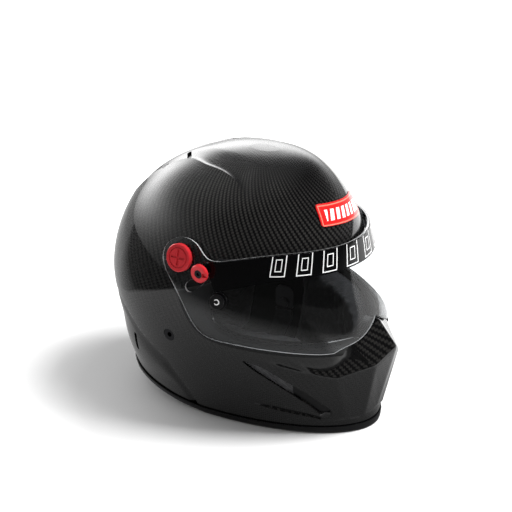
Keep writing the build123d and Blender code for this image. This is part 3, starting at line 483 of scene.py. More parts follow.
class Graph:
    """Small helper that adds nodes to one material or world."""

    def __init__(self, owner):
        owner.use_nodes = True
        self.nodes = owner.node_tree.nodes
        self.links = owner.node_tree.links
        self.surface = self.nodes.get("Principled BSDF")

    def put(self, socket, value):
        if isinstance(value, Number):
            self.links.new(value.socket, socket)
        else:
            socket.default_value = value

    def add(self, kind, inputs=(), output=0):
        """New node with its inputs filled by index or name, as one of its outputs."""
        node = self.nodes.new("ShaderNode" + kind)
        for key, value in inputs:
            self.put(node.inputs[key], value)
        return Number(self, node.outputs[output])

    def math(self, kind, a, b=0.0, c=0.0):
        result = self.add("Math", enumerate((a, b, c)))
        result.socket.node.operation = kind
        return result

    def least(self, a, b):
        return self.math("MINIMUM", a, b)

    def most(self, a, b):
        return self.math("MAXIMUM", a, b)

    def clamp(self, value, low, high):
        return self.least(self.most(value, low), high)

    def ramp(self, value, low, high):
        """0 up to low, 1 from high on and straight between."""
        return self.clamp((value - low) / (high - low), 0.0, 1.0)

    def attribute(self, name):
        result = self.add("Attribute", output="Fac")
        result.socket.node.attribute_name = name
        return result

    def split_up(self, vector):
        node = self.nodes.new("ShaderNodeSeparateXYZ")
        self.put(node.inputs[0], vector)
        return [Number(self, out) for out in node.outputs]

    def position(self, scale=1000.0):
        return [out * scale for out in self.split_up(self.add("TexCoord", output="Object"))]

    def mix(self, share, a, b):
        return self.add("Mix", ((0, share), (2, a), (3, b)))

    def colour(self, share, a, b):
        result = self.add("Mix", ((0, share),), output=2)
        node = result.socket.node
        node.data_type = "RGBA"
        for socket, value in ((node.inputs[6], a), (node.inputs[7], b)):
            self.put(socket, (*value, 1.0) if isinstance(value, tuple) else value)
        return result

    def noise(self, scale, detail=2.0, vector=None):
        vector = vector or self.add("TexCoord", output="Object")
        inputs = (("Scale", scale), ("Detail", detail), ("Vector", vector))
        return self.add("TexNoise", inputs, output="Fac")

    def bump(self, height, strength, distance):
        inputs = (("Strength", strength), ("Distance", distance), ("Height", height))
        self.into("Normal", self.add("Bump", inputs))

    def into(self, socket, value):
        self.put(self.surface.inputs[socket], value)

    def light_path(self, name):
        return self.add("LightPath", output=name + " Ray")

    def mirrored(self):
        """1 for reflected rays alone; rays bent by glass count as glossy too."""
        return self.light_path("Is Glossy") - self.light_path("Is Transmission")

    def blend(self, share, first, second):
        return self.add("MixShader", ((0, share), (1, first), (2, second)))

    def finish(self, surface):
        self.put(self.nodes["Material Output"].inputs[0], surface)


def shader(name, **sockets):
    """Principled material with constants set on its own sockets, and its graph."""
    material = bpy.data.materials.new(name)
    g = Graph(material)
    for key, value in sockets.items():
        g.into(key.replace("_", " "), (*value, 1.0) if isinstance(value, tuple) else value)
    return material, g


def carbon_material():
    """Twill weave, two over and two under, under a clear coat, in random patches; painted dimmer low and
    on top, brighter on the chin top.
    """
    material, g = shader("carbon", Roughness=0.5, Specular_IOR_Level=0.12, Coat_Weight=1.0,
                         Coat_Roughness=0.03, Coat_IOR=1.5)
    tow_across, tow_along = 1.65, 2.7
    x, y, z = g.position()
    upward = g.split_up(g.add("NewGeometry", output="Normal"))[2]
    crown = abs(upward) > 0.9
    u = g.mix(crown, g.attribute("around"), y) / tow_across
    v = g.mix(crown, g.attribute("up"), abs(x) + 40.0) / tow_along
    over = g.math("FLOORED_MODULO", g.math("FLOOR", u) - g.math("FLOOR", v), 4.0) < 1.5
    across_v, across_h = (g.math("SINE", g.math("FRACT", share) * math.pi) for share in (u, v))
    fibre = g.noise(1.0, vector=g.add("CombineXYZ", enumerate((u * 0.7, v * 9.0))))
    tone = over * (0.25 + across_h * 0.75) * (0.35 + fibre * 0.75)
    # Painted shade and light on the weave: it is dimmed low down and on the up-facing crown, where the
    # reflections hide it, and lifted again on the chin's top facets. The patches vary at random.
    low_painted_dim = g.clamp((z - 90.0) / 90.0, 0.10, 1.0)
    top_painted_dim = g.clamp((0.93 - upward) / 0.2, 0.05, 1.0)
    patches = g.clamp(g.noise(9.0) * 4.5 - 1.55, 0.12, 1.0)
    chin_top = (y < -62.0) * (z < 132.0) * (upward > 0.28)
    tone = tone * g.most(low_painted_dim * top_painted_dim * patches, chin_top * 0.6)
    g.into("Base Color", g.colour(tone, (0.0016, 0.0016, 0.0018), (0.038, 0.0365, 0.034)))
    g.bump(g.mix(over, across_h, across_v) + fibre * 0.3, 0.5, 0.0003)
    return material


def fabric_material(name, dark, light, cell):
    """Plain woven or knitted cloth."""
    material, g = shader(name, Roughness=0.92, Sheen_Weight=0.25, Sheen_Roughness=0.5)
    x, y, z = g.position()
    turns = 2 * math.pi / cell
    weave = g.math("SINE", (x + y) * turns) * g.math("SINE", (z - x * 0.5) * turns)
    tone = weave * 0.3 + g.noise(220.0, 3.0)
    g.into("Base Color", g.colour(tone, dark, light))
    g.bump(tone, 0.7, 0.0006)
    return material


def rubber_material(name, base, roughness):
    """Rubber, foam or plastic with a fine mottle."""
    material, g = shader(name, Roughness=roughness, Specular_IOR_Level=0.3)
    tone = g.noise(160.0, 4.0)
    g.into("Base Color", g.colour(tone, tuple(c * 0.75 for c in base), tuple(c * 1.3 for c in base)))
    g.bump(tone, 0.15, 0.0003)
    return material


def glass_material():
    """Clear sheet that lets shadow rays through, also diffuse and mirrored ones, in a greyer tint that
    paints deeper shade behind it.
    """
    material, g = shader("clear_shield", Base_Color=(0.93, 0.945, 0.95), Roughness=0.0, IOR=1.4,
                         Transmission_Weight=1.0)
    passing = g.most(g.most(g.light_path("Is Shadow"), g.light_path("Is Diffuse")), g.mirrored())
    # Greyer than the sheet's own tint: painted shade for the inside behind the shield.
    clear = g.add("BsdfTransparent", ((0, (0.72, 0.73, 0.74, 1.0)),))
    g.finish(g.blend(passing, Number(g, g.surface.outputs[0]), clear))
    return material


def anodised(name, base, metallic=1.0):
    """Coloured metal with a soft grain."""
    material, g = shader(name, Metallic=metallic, Roughness=0.28)
    tone = g.noise(300.0, 3.0)
    g.into("Base Color", g.colour(tone, tuple(c * 0.8 for c in base), base))
    g.bump(tone, 0.1, 0.0002)
    return material


def outlined(g, wide, tall, low, high):
    """Mask of a line that runs from low to high inside a shape's sides, whose distances are given."""
    edge = g.least(wide, tall)
    return (edge > low) * (edge < high)


def strip_material():
    """Black film with a row of outlined slanted bars, each with a smaller one inside."""
    material, g = shader("visor_strip", Roughness=0.16, Specular_IOR_Level=0.3)
    x, y, z = g.position()
    pitch, middle, half_tall, half_wide, slope = 28.2, 196.0, 11.2, 8.2, 0.22
    around = g.attribute("around")
    level = z - middle
    slanted = level * slope + around * (g.math("SIGN", x) * -1.0)
    wide = half_wide - abs((g.math("FRACT", slanted / pitch) - 0.5) * pitch)
    tall = half_tall - abs(level)
    inner = outlined(g, wide - half_wide * 0.55, tall - half_tall * 0.45, 0.0, 0.9)
    line = g.most(outlined(g, wide, tall, 0.0, 1.1), inner) * (around < 4 * pitch)
    g.into("Base Color", g.colour(line, (0.0012, 0.0012, 0.0014), (0.80, 0.80, 0.80)))
    g.bump(g.noise(500.0), 0.05, 0.0001)
    return material


def badge_material():
    """Red plate with a pale border and a row of plain white slanted bars."""
    material, g = shader("badge", Roughness=0.3, Coat_Weight=0.6, Coat_Roughness=0.05)
    x, y, z = g.position()
    level = z - (x * BADGE_TILT + BADGE_LEVEL)
    along = level * -BADGE_SHEAR + x - BADGE_SHIFT
    wide, tall = BADGE_HALF_WIDE - abs(along), BADGE_HALF_TALL - abs(level)
    bar_pitch, bar_slope = 8.0, -0.25
    bar = abs(g.math("FRACT", (level * bar_slope + along) / bar_pitch) - 0.5) < 0.3
    red = g.colour(bar * (tall > 5.2) * (wide > 6.5), (0.62, 0.012, 0.012), (0.86, 0.86, 0.86))
    g.into("Base Color", g.colour(outlined(g, wide, tall, 0.9, 1.9), red, (0.88, 0.22, 0.16)))
    g.bump(g.noise(400.0), 0.04, 0.0001)
    return material


CARBON = carbon_material()
LINING = fabric_material("lining", (0.003, 0.003, 0.0033), (0.050, 0.050, 0.054), 1.9)
LINING_SMOOTH = fabric_material("lining_smooth", (0.006, 0.006, 0.0065), (0.024, 0.024, 0.026), 0.9)
WEBBING = fabric_material("webbing", (0.008, 0.008, 0.009), (0.035, 0.035, 0.037), 2.0)
FOAM = rubber_material("foam", (0.008, 0.008, 0.0085), 0.85)
RUBBER = rubber_material("rubber", (0.005, 0.005, 0.0055), 0.3)
BLACK = rubber_material("black_plastic", (0.004, 0.004, 0.0045), 0.3)
SHADE = rubber_material("slot_shade", (0.0015, 0.0015, 0.0016), 0.6)
MARK = rubber_material("white_mark", (0.75, 0.75, 0.75), 0.4)
GLASS = glass_material()
# Grey on the shield's cut edges: a painted highlight for the bright rim that the clear sheet shows.
EDGE_HIGHLIGHT = rubber_material("shield_edge_highlight", (0.36, 0.365, 0.37), 0.12)
RED = anodised("red_metal", (0.70, 0.030, 0.040), 0.25)
STEEL = anodised("steel", (0.5, 0.5, 0.51))
DARK = anodised("black_metal", (0.03, 0.03, 0.032))
STRIP_FILM = strip_material()
BADGE = badge_material()


def prow_reach(points):
    """How far the faceted chin reaches from its core towards each point, and how far the point is."""
    corners = {key: np.array(value) * (HALF, FRONT, HEIGHT) - CORE for key, value in PROW.items()}
    direction = points - CORE
    length = np.linalg.norm(direction, axis=1)
    direction /= length[:, None]
    direction[:, 0] = np.abs(direction[:, 0])
    reach = np.zeros(len(points))
    for facet in FACETS:
        for b, c in zip(facet[1:], facet[2:]):
            triangle = np.array([corners[facet[0]], corners[b], corners[c]])
            weights = direction @ np.linalg.inv(triangle)
            total = weights.sum(axis=1)
            hit = (total > 0) & (weights > -1e-6 * total[:, None]).all(axis=1)
            reach = np.maximum(reach, np.where(hit, 1 / np.where(hit, total, 1), 0))
    return reach, length


def chin(verts, spread=1.7, fade=2.5):
    """Push the dome out to the faceted chin, whose edges are rounded by averaging over a small patch."""
    out = verts.copy()
    near = (verts[:, 1] < -20) & (verts[:, 2] < 132)
    points = verts[near, :3]
    toward = points - CORE
    length = np.linalg.norm(toward, axis=1)
    toward /= length[:, None]
    sideways = np.cross(toward, (0.0, 0.0, 1.0))
    sideways /= np.linalg.norm(sideways, axis=1)[:, None]
    upward = np.cross(sideways, toward)
    total = np.zeros(len(points))
    offsets = [(0.0, 0.0)] + [(r * math.cos(a), r * math.sin(a)) for r, n in ((0.55, 6), (1.0, 10))
                              for a in np.arange(n) * 2 * math.pi / n]
    for a, b in offsets:
        shifted = points + (sideways * a + upward * b) * spread
        reach, far = prow_reach(shifted)
        joined = np.maximum(reach, far)
        blend = np.maximum(fade - np.abs(reach - far), 0)
        total += np.where(reach > 0, joined + blend ** 2 / (4 * fade), far)
    lift = total / len(offsets) - length
    lift = np.where(lift > 0.02, lift, 0.0)
    out[near, :3] += toward * lift[:, None]
    return out


def slot_box(x, y, half_long, half_wide, turn=-32.0):
    """Distance function outside a rounded slot seen from above, turned a little, on both sides."""
    c, s = math.cos(math.radians(turn)), math.sin(math.radians(turn))

    def func(v):
        dx, dy = np.abs(v[:, 0]) - x, v[:, 1] - y
        along = np.maximum(np.abs(dx * c + dy * s) - (half_long - half_wide), 0)
        d = np.hypot(along, dy * c - dx * s) - half_wide
        return np.where(v[:, 2] > 150, d, 5.0)
    return func


def rear_slot(v):
    """Distance function outside the small slot low on each side of the back."""
    d = np.hypot(v[:, 1] - 97.0, np.maximum(np.abs(v[:, 2] - 71.0) - 8.5, 0)) - 2.5
    return np.where(v[:, 1] > 60, d, 5.0)


def disc(place_y, place_z, radius):
    """Distance function outside a round hole in the sides."""
    return lambda v: np.hypot(v[:, 1] - place_y, v[:, 2] - place_z) - radius


def line_distance(points, line):
    """Signed distance of plane points to an open line."""
    best, sign = np.full(len(points), 1e9), np.ones(len(points))
    for a, b in zip(line[:-1], line[1:]):
        gap = segment_gap(points, a, b)
        far = np.linalg.norm(gap, axis=1)
        sign = np.where(far < best, np.sign((b - a)[0] * gap[:, 1] - (b - a)[1] * gap[:, 0]), sign)
        best = np.minimum(best, far)
    return best * np.where(sign == 0, 1, sign)


def crease_distance(v):
    """Distance in plan to the crown crease on either side, positive towards the middle."""
    return -line_distance(np.stack((np.abs(v[:, 0]), v[:, 1]), axis=1), LINES["crease"])


def crown_relief(v):
    """Sink of the crown inside its two creases: steep at the crease, then running out to the middle."""
    d = crease_distance(v)
    depth = 2.5 * smooth_step((v[:, 1] + 34) / 26) * smooth_step((176 - v[:, 1]) / 46)
    wall = 1 - (1 - np.clip(d / 5.5, 0, 1)) ** 2
    back = 1 - smooth_step((d - 6) / 22)
    crest = 0.34 * np.where(d > 0, back, np.exp(np.minimum(d, 0) / 6.0))
    return np.where(v[:, 2] > CROWN_LEVEL, depth * (np.where(d > 0, 1.34 * wall * back, 0.0) - crest), 0.0)


def scoop_relief(v):
    """Chamfer that dips from the bright lip into the scoop, and the folded panel under it."""
    flat = v[:, 1:3]
    inward = side("channel")(v)
    slit = np.maximum(outside("scoop")(v), 0.0)
    dip = 3.2 * np.clip(inward, 0, None) / (np.clip(inward, 0, None) + slit + 1.0)
    low = -line_distance(flat, LINES["fold"])
    high = line_distance(flat, LINES["lip"])
    between = (low > 0) & (high > 0)
    share = np.where(between, high / np.maximum(high + low, 0.1), 0.0)
    panel = 2.2 * share ** 1.5 * smooth_step((-38.0 - v[:, 1]) / 30.0) * (v[:, 1] > -116)
    panel *= np.clip(low / FOLD_WIDTH, 0, 1)
    return np.where(v[:, 1] < 0, np.maximum(np.where(inward > 0, dip, 0.0), panel), 0.0)


def skirt_relief(v):
    """Step along the rear crease: a fine groove, then a skirt that swells out again low down."""
    d = side("skirt")(v)
    groove = 1.5 * smooth_step(d / GROOVE_WIDTH) * (1 - smooth_step((d - 3.0) / 10.0))
    level = smooth_step((95 - v[:, 2]) / 30) * smooth_step((v[:, 2] - 30) / 30)
    return groove - 1.6 * smooth_step((d - 4.0) / 16.0) * level


def beyond_eyeport(v):
    """Distance function outside the eyeport, whose lower edge rises over the bump of the chin."""
    line = np.array(NOTCH[1]) * (HALF, HEIGHT)
    over = v[:, 2] - np.interp(np.abs(v[:, 0]), line[:, 0], line[:, 1] - 3.0)
    over = np.where((v[:, 1] < -60) & (np.abs(v[:, 0]) < 66), over, 50.0)
    return -np.minimum(side("eyeport")(v), over)


def above_rim(v):
    """Distance function above the edge that sits in the rim trim."""
    return v[:, 2] - rim_height(v[:, 1]) - TRIM_SEAT


def fold_line(shift):
    """Distance function of the fold below the scoop, moved by a shift."""
    def func(v):
        near = (v[:, 1] < -30) & (v[:, 1] > -118)
        return np.where(near, line_distance(v[:, 1:3], LINES["fold"]) + shift, 5.0)
    return func


def groove_end(v):
    """Distance function past the fine groove of the rear crease."""
    return side("skirt")(v) - GROOVE_WIDTH


def crown_crease(v):
    """Distance function between the two crown creases."""
    return np.where(v[:, 2] > CROWN_LEVEL, crease_distance(v), -5.0)


def shell():
    """Carbon skin with its openings, creases and relief, and the dark inside behind it."""
    verts, faces = dome(0.0, (1.25, 3.0), (-3.0, HEIGHT, 1.4, 2.3), closed_top=True)
    holes = [slot_box(*slot) for slot in CROWN_SLOTS] + [disc(*hole) for hole in HOLES]
    verts, faces = cut(chin(verts), faces, above_rim, beyond_eyeport, outside("scoop"), *holes, rear_slot)
    for crease in (side("skirt"), groove_end, side("channel"), fold_line(0.0), fold_line(FOLD_WIDTH),
                   crown_crease):
        verts, faces = split(verts, faces, crease, keep=0)
    verts, faces = tidy(verts, faces)
    normal = normals(verts, faces)
    sunk = crown_relief(verts) + scoop_relief(verts) + skirt_relief(verts)
    verts[:, :3] -= normal * sunk[:, None]
    verts[:, 2] = np.minimum(verts[:, 2], HEIGHT - TOP_MARGIN)
    verts, faces = turned_in(verts, faces, SHELL_WALL, normal)
    make("shell_skin", verts, faces, CARBON, "helmet", node="outer_shell", smooth=44)
    grow = -SHELL_WALL - 4.4
    verts, faces = dome(grow, (4.5, 6.0), (-1.0, HEIGHT * 0.999, 4.5, 5.5), closed_top=True)
    verts, faces = cut(verts, faces, above_rim, beyond_eyeport, outside("scoop"))
    make("shell_inside", verts, [f[::-1] for f in faces], BLACK, "helmet")


def curved_slot(v):
    """Distance function outside the curved slot of the shield at rest."""
    low, high = (math.radians(a) for a in SLOT_ANGLES)
    dy, dz = v[:, 1] - PIVOT[0], v[:, 2] - PIVOT[1]
    angle = np.clip(np.mod(np.arctan2(dz, dy), 2 * math.pi), low, high)
    return np.hypot(dy - LATCH_RADIUS * np.cos(angle), dz - LATCH_RADIUS * np.sin(angle)) - SLOT_HALF_WIDTH


def beyond_notch(v):
    """Distance function outside the notch of the shield over the chin."""
    return np.where(v[:, 1] < 0, -inside(v[:, [0, 2]], LINES["notch"]), 5.0)


def ahead_of(y):
    """Distance function of what lies in front of a y."""
    return lambda v: y - v[:, 1]


def shield():
    """Clear shield, the film along its top, and the shade seen through its curved slots."""
    fine = (1.7, 3.0)
    verts, faces = dome(SHIELD_LIFT, fine, (92.0, 222.0, 1.8, 1.8), eased=True)
    verts, faces = cut(verts, faces, ahead_of(60), side("shield"), beyond_notch, curved_slot,
                       disc(*PIVOT, 3.8), disc(*POST, 2.1))
    walls = len(rim_edges(faces))
    verts, faces = thick(verts, faces, SHIELD_WALL)
    pane = make("clear_shield", verts, faces, GLASS, "visor", node="visor_shield",
                smooth=50)
    # The cut edges take the grey painted highlight.
    pane.data.materials.append(EDGE_HIGHLIGHT)
    for wall in pane.data.polygons[len(faces) - walls:]:
        wall.material_index = 1
    verts, faces = dome(SHIELD_LIFT + 0.05, fine, (150.0, 218.0, 2.0, 2.0), eased=True)
    verts, faces = cut(verts, faces, ahead_of(30), side("strip"), curved_slot, disc(*PIVOT, 15.0))
    verts[:, :3] += normals(verts, faces) * (STRIP_WALL + 0.05)
    verts, faces = thick(verts, faces, STRIP_WALL)
    make("strip_film", verts, faces, STRIP_FILM, "visor", node="visor_strip", smooth=50)
    verts, faces = dome(0.45, fine, (150.0, 200.0, 2.0, 2.0), eased=True, scale=1.0)
    verts, faces = cut(verts, faces, ahead_of(30), lambda v: 1.0 - curved_slot(v), disc(*LATCH, 5.0))
    make("slot_shade", verts, faces, SHADE, "helmet", smooth=50)


def ring_mark():
    """Open white ring on the head of each tear-off post."""
    section = ((2.0, -0.05), (2.0, 0.06), (3.1, 0.06), (3.1, -0.05))
    steps = np.radians(np.linspace(35, 325, 40))
    for end, sign in SIDES:
        head = nodes["tearoff_post" + end]
        normal = np.array((sign, -0.26546, 0.17704))
        normal /= np.linalg.norm(normal)
        points = world_points(head)
        along = points @ normal
        top = points[along > along.max() - 0.05]
        middle = (top.min(axis=0) + top.max(axis=0)) / 2
        across = np.cross(normal, (0.0, 0.0, 1.0))
        across /= np.linalg.norm(across)
        upward = np.cross(across, normal)
        outs = [across * math.cos(t) + upward * math.sin(t) for t in steps]
        verts = np.array([middle + out * r + normal * h for out in outs for r, h in section])
        last = 4 * len(steps) - 4
        faces = quads(len(steps), 4, wrap=True) + [[0, 1, 2, 3], [last + 3, last + 2, last + 1, last]]
        make("post_mark" + end, verts, faces, MARK, "tearoff_post" + end, smooth=30)


def gasket():
    """Rubber seal round the eyeport, with a crowned face."""
    def clear_of_chin(v):
        reach, length = prow_reach(v[:, :3])
        return length - reach * 1.015 - 0.6

    verts, faces = dome(0.3, (2.0, 3.0), (88.0, 214.0, 1.8, 1.8))
    verts, faces = cut(verts, faces, ahead_of(60), side("gasket"), outside("eyeport"), clear_of_chin)
    edge = np.minimum(side("gasket")(verts), outside("eyeport")(verts))
    crown = 1.0 + 1.5 * np.sqrt(np.clip(edge / 2.0, 0, 1))
    verts[:, :3] += normals(verts, faces) * crown[:, None]
    verts, faces = thick(verts, faces, 0.9)
    make("eyeport_seal", verts, faces, RUBBER, "helmet", node="eyeport_gasket",
         smooth=45)


def trim():
    """Rounded rubber channel along the lower edge."""
    section = ((0.3, 8.6), (0.9, 9.0), (1.5, 8.7), (1.8, 7.9), (1.8, 2.6), (1.5, 1.2), (0.7, 0.3),
               (-0.4, 0.0), (-2.6, 0.0), (-3.8, 0.3), (-4.6, 1.2), (-4.8, 2.6), (-4.8, 7.9), (-4.5, 8.7),
               (-3.9, 9.0), (-3.3, 8.6), (-3.3, 2.5), (0.3, 2.5))
    angles, _ = columns(2.2, 2.6)
    loops = []
    for grow, up in section:
        table = profile(grow)
        z = np.full(len(angles), up, float)
        for _ in range(4):
            z = rim_height(place(table, z, angles)[:, 1]) + up
        loops.append(place(table, z, angles))
    faces = [[f[0], f[3], f[2], f[1]] for f in quads(len(section), len(angles), wrap=True, ring=True)]
    make("rim_trim", np.concatenate(loops), faces, RUBBER, "helmet", node="base_trim",
         smooth=60)


def badge():
    """Thin slanted plate on the forehead."""
    half = np.array((BADGE_HALF_WIDE, BADGE_HALF_TALL))
    across, levels = np.linspace(-half[0], half[0], 70), np.linspace(-half[1], half[1], 23)
    flat, level = (a.ravel() for a in np.meshgrid(across, levels))
    x = flat + BADGE_SHEAR * level + BADGE_SHIFT
    z = BADGE_LEVEL + BADGE_TILT * x + level
    table = profile(0.3)
    width, front, rear, middle = (np.interp(z, table[0], row) for row in table[1:])
    y = middle - (front + middle) * np.sqrt(np.clip(1 - (x / width) ** 2, 0, 1))
    corner = 3.0

    def rounded(v):
        past = np.maximum(np.abs(v[:, 3:5]) - (half - corner), 0)
        return corner - np.hypot(*past.T)
    verts, faces = cut(np.stack((x, y, z, flat, level), axis=1), quads(len(levels), len(across)), rounded)
    verts[:, :3] += normals(verts, faces) * BADGE_WALL
    verts, faces = thick(verts[:, :3], faces, BADGE_WALL)
    make("badge_plate", verts, faces, BADGE, "helmet", node="forehead_badge", smooth=45)


def ribbon(end, sign):
    """Flat woven band with slightly thicker edges."""
    path = strap_path()
    half = STRAP_WIDTH / 2
    flanks = [(y, 1.2 - 0.25 * smooth_step((half - abs(y)) / 2.5)) for y in np.linspace(-10.8, 10.8, 25)]
    section = [(-half, 0.0), *flanks, (half, 0.0), *[(y, -h) for y, h in flanks[::-1]]]
    along = np.gradient(path, axis=0)
    along /= np.linalg.norm(along, axis=1)[:, None]
    verts = [(-sign * (x - dz * h), STRAP_Y + y, z + dx * h)
             for (x, z), (dx, dz) in zip(path, along) for y, h in section]
    c = len(section)
    faces = quads(len(path), c, wrap=True)
    faces += [list(range(c)), [(len(path) - 1) * c + j for j in range(c)][::-1]]
    if sign > 0:
        faces = [f[::-1] for f in faces]
    make("strap_band" + end, np.array(verts), faces, WEBBING, "strap" + end,
         node="chin_strap" + end, smooth=50)


def strap_path():
    """Middle line of the right-hand webbing, as (x, z): down, round a soft bend and in under the jaw."""
    start, corner, end = np.array(STRAP_LINE)
    high = corner + (0.0, STRAP_BEND)
    low = corner + (end - corner) / np.linalg.norm(end - corner) * STRAP_BEND
    t = np.linspace(0, 1, 9)[:, None]
    bend = (1 - t) ** 2 * high + 2 * t * (1 - t) * corner + t * t * low
    return np.concatenate((np.linspace(start, high, 5)[:-1], bend, np.linspace(low, end, 17)[1:]))


def strap_fold():
    """Folded end of the left strap round the bars of both rings: a rounded tube across the strap."""
    _, corner, end = np.array(STRAP_LINE)
    dx, dz = (end - corner) / np.linalg.norm(end - corner)
    tip = np.array((-end[0], STRAP_Y, end[1]))
    axes = np.array(((-dx, 0, dz), (dz, 0, dx)))
    spots = (world_points(nodes["strap_loop"]) - tip) @ axes.T
    low, high = spots.min(axis=0), spots.max(axis=0)
    loops = []
    for inset, y in ((0.0, -10.9), (0.0, 10.9), (2.2, 10.9), (2.2, -10.9)):
        radius = max(3.4 - inset, 0.8)
        size = (high - low) / 2 - inset - radius
        for k, signs in enumerate(((1, 1), (-1, 1), (-1, -1), (1, -1))):
            turns = np.linspace(k * math.pi / 2, (k + 1) * math.pi / 2, 7)
            arc = radius * np.stack((np.cos(turns), np.sin(turns)), axis=1)
            loops.append(tip + (0, y, 0) + ((low + high) / 2 + size * signs + arc) @ axes)
    verts = np.concatenate(loops)
    faces = quads(4, len(verts) // 4, wrap=True, ring=True)
    make("strap_fold", verts, faces, WEBBING, "strap_left", node="strap_loop",
         smooth=50)


def straps():
    """Chin straps from the rivets down to the rings."""
    for end, sign in SIDES:
        ribbon(end, sign)
    strap_fold()


def softened(node, name, voxel):
    """Rounded, finely divided copy of a plain soft solid."""
    obj = nodes[node].copy()
    obj.data = nodes[node].data.copy()
    obj.name = name
    bpy.context.scene.collection.objects.link(obj)
    obj.hide_render = obj.hide_viewport = False
    obj.parent = None
    remesh = obj.modifiers.new("remesh", "REMESH")
    remesh.mode, remesh.voxel_size = "VOXEL", voxel * MM
    relax = obj.modifiers.new("relax", "SMOOTH")
    relax.factor, relax.iterations = 0.5, 6
    bpy.context.view_layer.update()
    applied(obj)
    return obj


def applied(obj):
    """Give an object its modified mesh and drop the modifiers."""
    graph = bpy.context.evaluated_depsgraph_get()
    mesh = bpy.data.meshes.new_from_object(obj.evaluated_get(graph))
    obj.modifiers.clear()
    obj.data = mesh


def swell(obj, limit):
    """Blow the skin up as pressed cloth for 20 frames, by no more than a limit in millimetres."""
    start = np.array([v.co for v in obj.data.vertices])
    cloth = obj.modifiers.new("cloth", "CLOTH").settings
    cloth.use_pressure = True
    cloth.uniform_pressure_force = 4.0
    cloth.effector_weights.gravity = 0.0
    cloth.quality = 4
    scene = bpy.context.scene
    for number in range(1, 21):
        scene.frame_set(number)
    moved = obj.evaluated_get(bpy.context.view_layer.depsgraph).data.vertices
    step = np.array([v.co for v in moved]) - start
    obj.modifiers.clear()
    scene.frame_set(1)
    far = np.linalg.norm(step, axis=1)
    step *= (np.minimum(far, limit * MM) / np.maximum(far, 1e-9))[:, None]
    obj.data.vertices.foreach_set("co", (start + step).ravel())
    obj.data.update()


def cushions():
    """Padding inside the shell, grown from the plain soft solids."""
    for node, voxel, limit, fill in CUSHIONS:
        obj = softened(node, node + "_cushion", voxel)
        obj.data.materials.clear()
        obj.data.materials.append(LINING_SMOOTH if node == "chin_liner" else LINING)
        swell(obj, limit)
        divide = obj.modifiers.new("divide", "SUBSURF")
        divide.levels = divide.render_levels = 1
        applied(obj)
        obj.data.shade_smooth()
        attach(obj, "helmet")
        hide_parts(node)


def assign(material, *names):
    """Give CAD pieces their material and smooth shading."""
    for name in names:
        mesh = nodes[name].data
        mesh.materials.clear()
        mesh.materials.append(material)
        mesh.shade_smooth()
        mesh.set_sharp_from_angle(angle=math.radians(30))


def both(*names):
    """Right-hand and left-hand names."""
    return [name + end for name in names for end, _ in SIDES]


def hardware():
    """Finish of the pieces that show as their CAD solids."""
    assign(RED, *both("pivot_knob", "latch_knob"))
    assign(STEEL, "ring_upper", "ring_lower")
    assign(DARK, *both("latch_screw", "fhr_insert", "pivot_hub", "latch_stud", "strap_rivet", "strap_tab"))
    assign(BLACK, "strap_snap", *both("tearoff_post", "tearoff_nut", "crown_screen", "chin_screen",
                                      "rear_screen", "cheek_snaps"))
    assign(FOAM, "eps_liner")


def floor_material():
    """White ground: it takes the lamps' shadow and glows white further off; polished parts mirror only its
    near side, with a painted shadow by the helmet and painted light ahead.
    """
    material, g = shader("floor", Base_Color=(0.88, 0.88, 0.88), Roughness=0.9, Specular_IOR_Level=0.0)
    matt = Number(g, g.surface.outputs[0])
    x, y, z = g.position(1.0)
    distance = g.math("SQRT", x * x + y * y)
    glow = g.add("Emission", (("Strength", g.ramp(distance, 0.20, 0.62) * 0.98 + 0.02),))
    seen = g.most(g.light_path("Is Camera"), g.light_path("Is Transmission"))
    left = g.most(x * -1.0 - 0.114, 0.0)
    near = g.ramp(left * 0.42 + 0.39 - y, -0.025, 0.025)
    behind = g.ramp(x, -0.25, 0.0) * (1.0 - g.ramp(y, 0.5, 1.6) * 0.5)
    toward = g.ramp(x * -0.84 + y * -0.545, 0.45, 0.9)
    near = g.most(near, behind) * (1.0 - toward * 0.9)
    # What polished parts mirror is darkened close to the helmet, a painted shadow, and brightened ahead of
    # it, painted light.
    painted_contact_shadow = g.least(g.math("EXPONENT", (0.07 - distance) / 0.22), 1.0)
    painted_light_ahead = g.ramp(x * 0.8 + y * -0.6, 0.10, 0.24)
    lit = (1.0 - painted_contact_shadow) * 0.85 * (painted_light_ahead * 1.6 + 1.0)
    direct = g.blend(seen, matt, g.add("AddShader", ((0, matt), (1, glow))))
    bright = g.add("Emission", (("Strength", near * lit + 0.02),))
    g.finish(g.blend(g.most(g.mirrored(), 0.0), direct, bright))
    return material


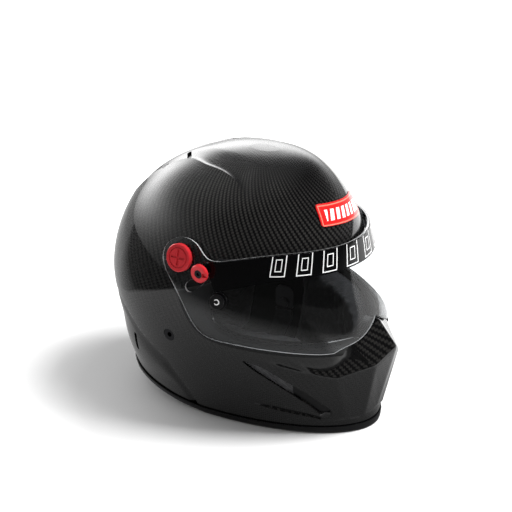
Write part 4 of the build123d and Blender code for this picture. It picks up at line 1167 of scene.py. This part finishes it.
def sky(world):
    """Dark room with one broad, low glow behind the helmet and a weak one above."""
    g = Graph(world)
    x, y, z = g.split_up(g.add("TexCoord", output="Generated"))
    flat = g.math("SQRT", x * x + y * y)
    turn = g.math("ARCCOSINE", g.least((x * 0.5 + y * 0.866) / g.most(flat, 0.0001), 0.9999))
    across = (turn / 0.62) ** 2.0
    up = abs((z - 0.26) / 0.15) ** 2.0
    glow = g.math("EXPONENT", (across + up) * -0.5)
    above = g.most(y * 0.45 + z * 0.9 - 0.55, 0.0)
    background = g.nodes["Background"]
    background.inputs["Color"].default_value = (1.0, 1.0, 1.0, 1.0)
    g.put(background.inputs["Strength"], glow * 5.0 + (above * 0.8 + 0.06))


def lamp(name, where, size, power):
    """Square lamp that looks at the helmet and isn't mirrored in it."""
    data = bpy.data.lights.new(name, "AREA")
    data.size = size
    data.energy = power
    obj = link(name, data)
    obj.location = where
    obj.rotation_euler = (Vector((0, 0, 0.10)) - Vector(where)).to_track_quat("-Z", "Y").to_euler()
    obj.visible_glossy = False


def camera():
    """Camera at the photograph's place, found by matching the outline."""
    azimuth, elevation, distance = math.radians(-57.0), math.radians(24.0), 1.7
    target = Vector((0, 0.003, 0.135))
    image, focal, centre = 512.0, 1588.8, (258.2, 275.8)
    data = bpy.data.cameras.new("camera")
    obj = link("camera", data)
    back = Vector((math.sin(azimuth) * math.cos(elevation), -math.cos(azimuth) * math.cos(elevation),
                   math.sin(elevation)))
    obj.location = target + back * distance
    obj.rotation_euler = (-back).to_track_quat("-Z", "Y").to_euler()
    data.sensor_width = 36.0
    data.lens = focal * data.sensor_width / image
    data.shift_x = (image / 2 - centre[0]) / image
    data.shift_y = (centre[1] - image / 2) / image
    bpy.context.scene.camera = obj


def studio():
    """White floor, dim room with a glow, two lamps and the camera."""
    scene = bpy.context.scene
    scene.view_settings.view_transform = "Standard"
    mesh = bpy.data.meshes.new("floor")
    mesh.from_pydata([(-30, -30, 0), (30, -30, 0), (30, 30, 0), (-30, 30, 0)], [], [(0, 1, 2, 3)])
    mesh.materials.append(floor_material())
    link("floor", mesh)
    scene.world = bpy.data.worlds.new("world")
    sky(scene.world)
    lamp("key", (0.50, -1.05, 1.9), 1.1, 78.0)
    lamp("fill", (-0.5, -0.4, 2.2), 2.0, 9.0)
    camera()


shell()
shield()
gasket()
trim()
badge()
ring_mark()
straps()
cushions()
hardware()
studio()
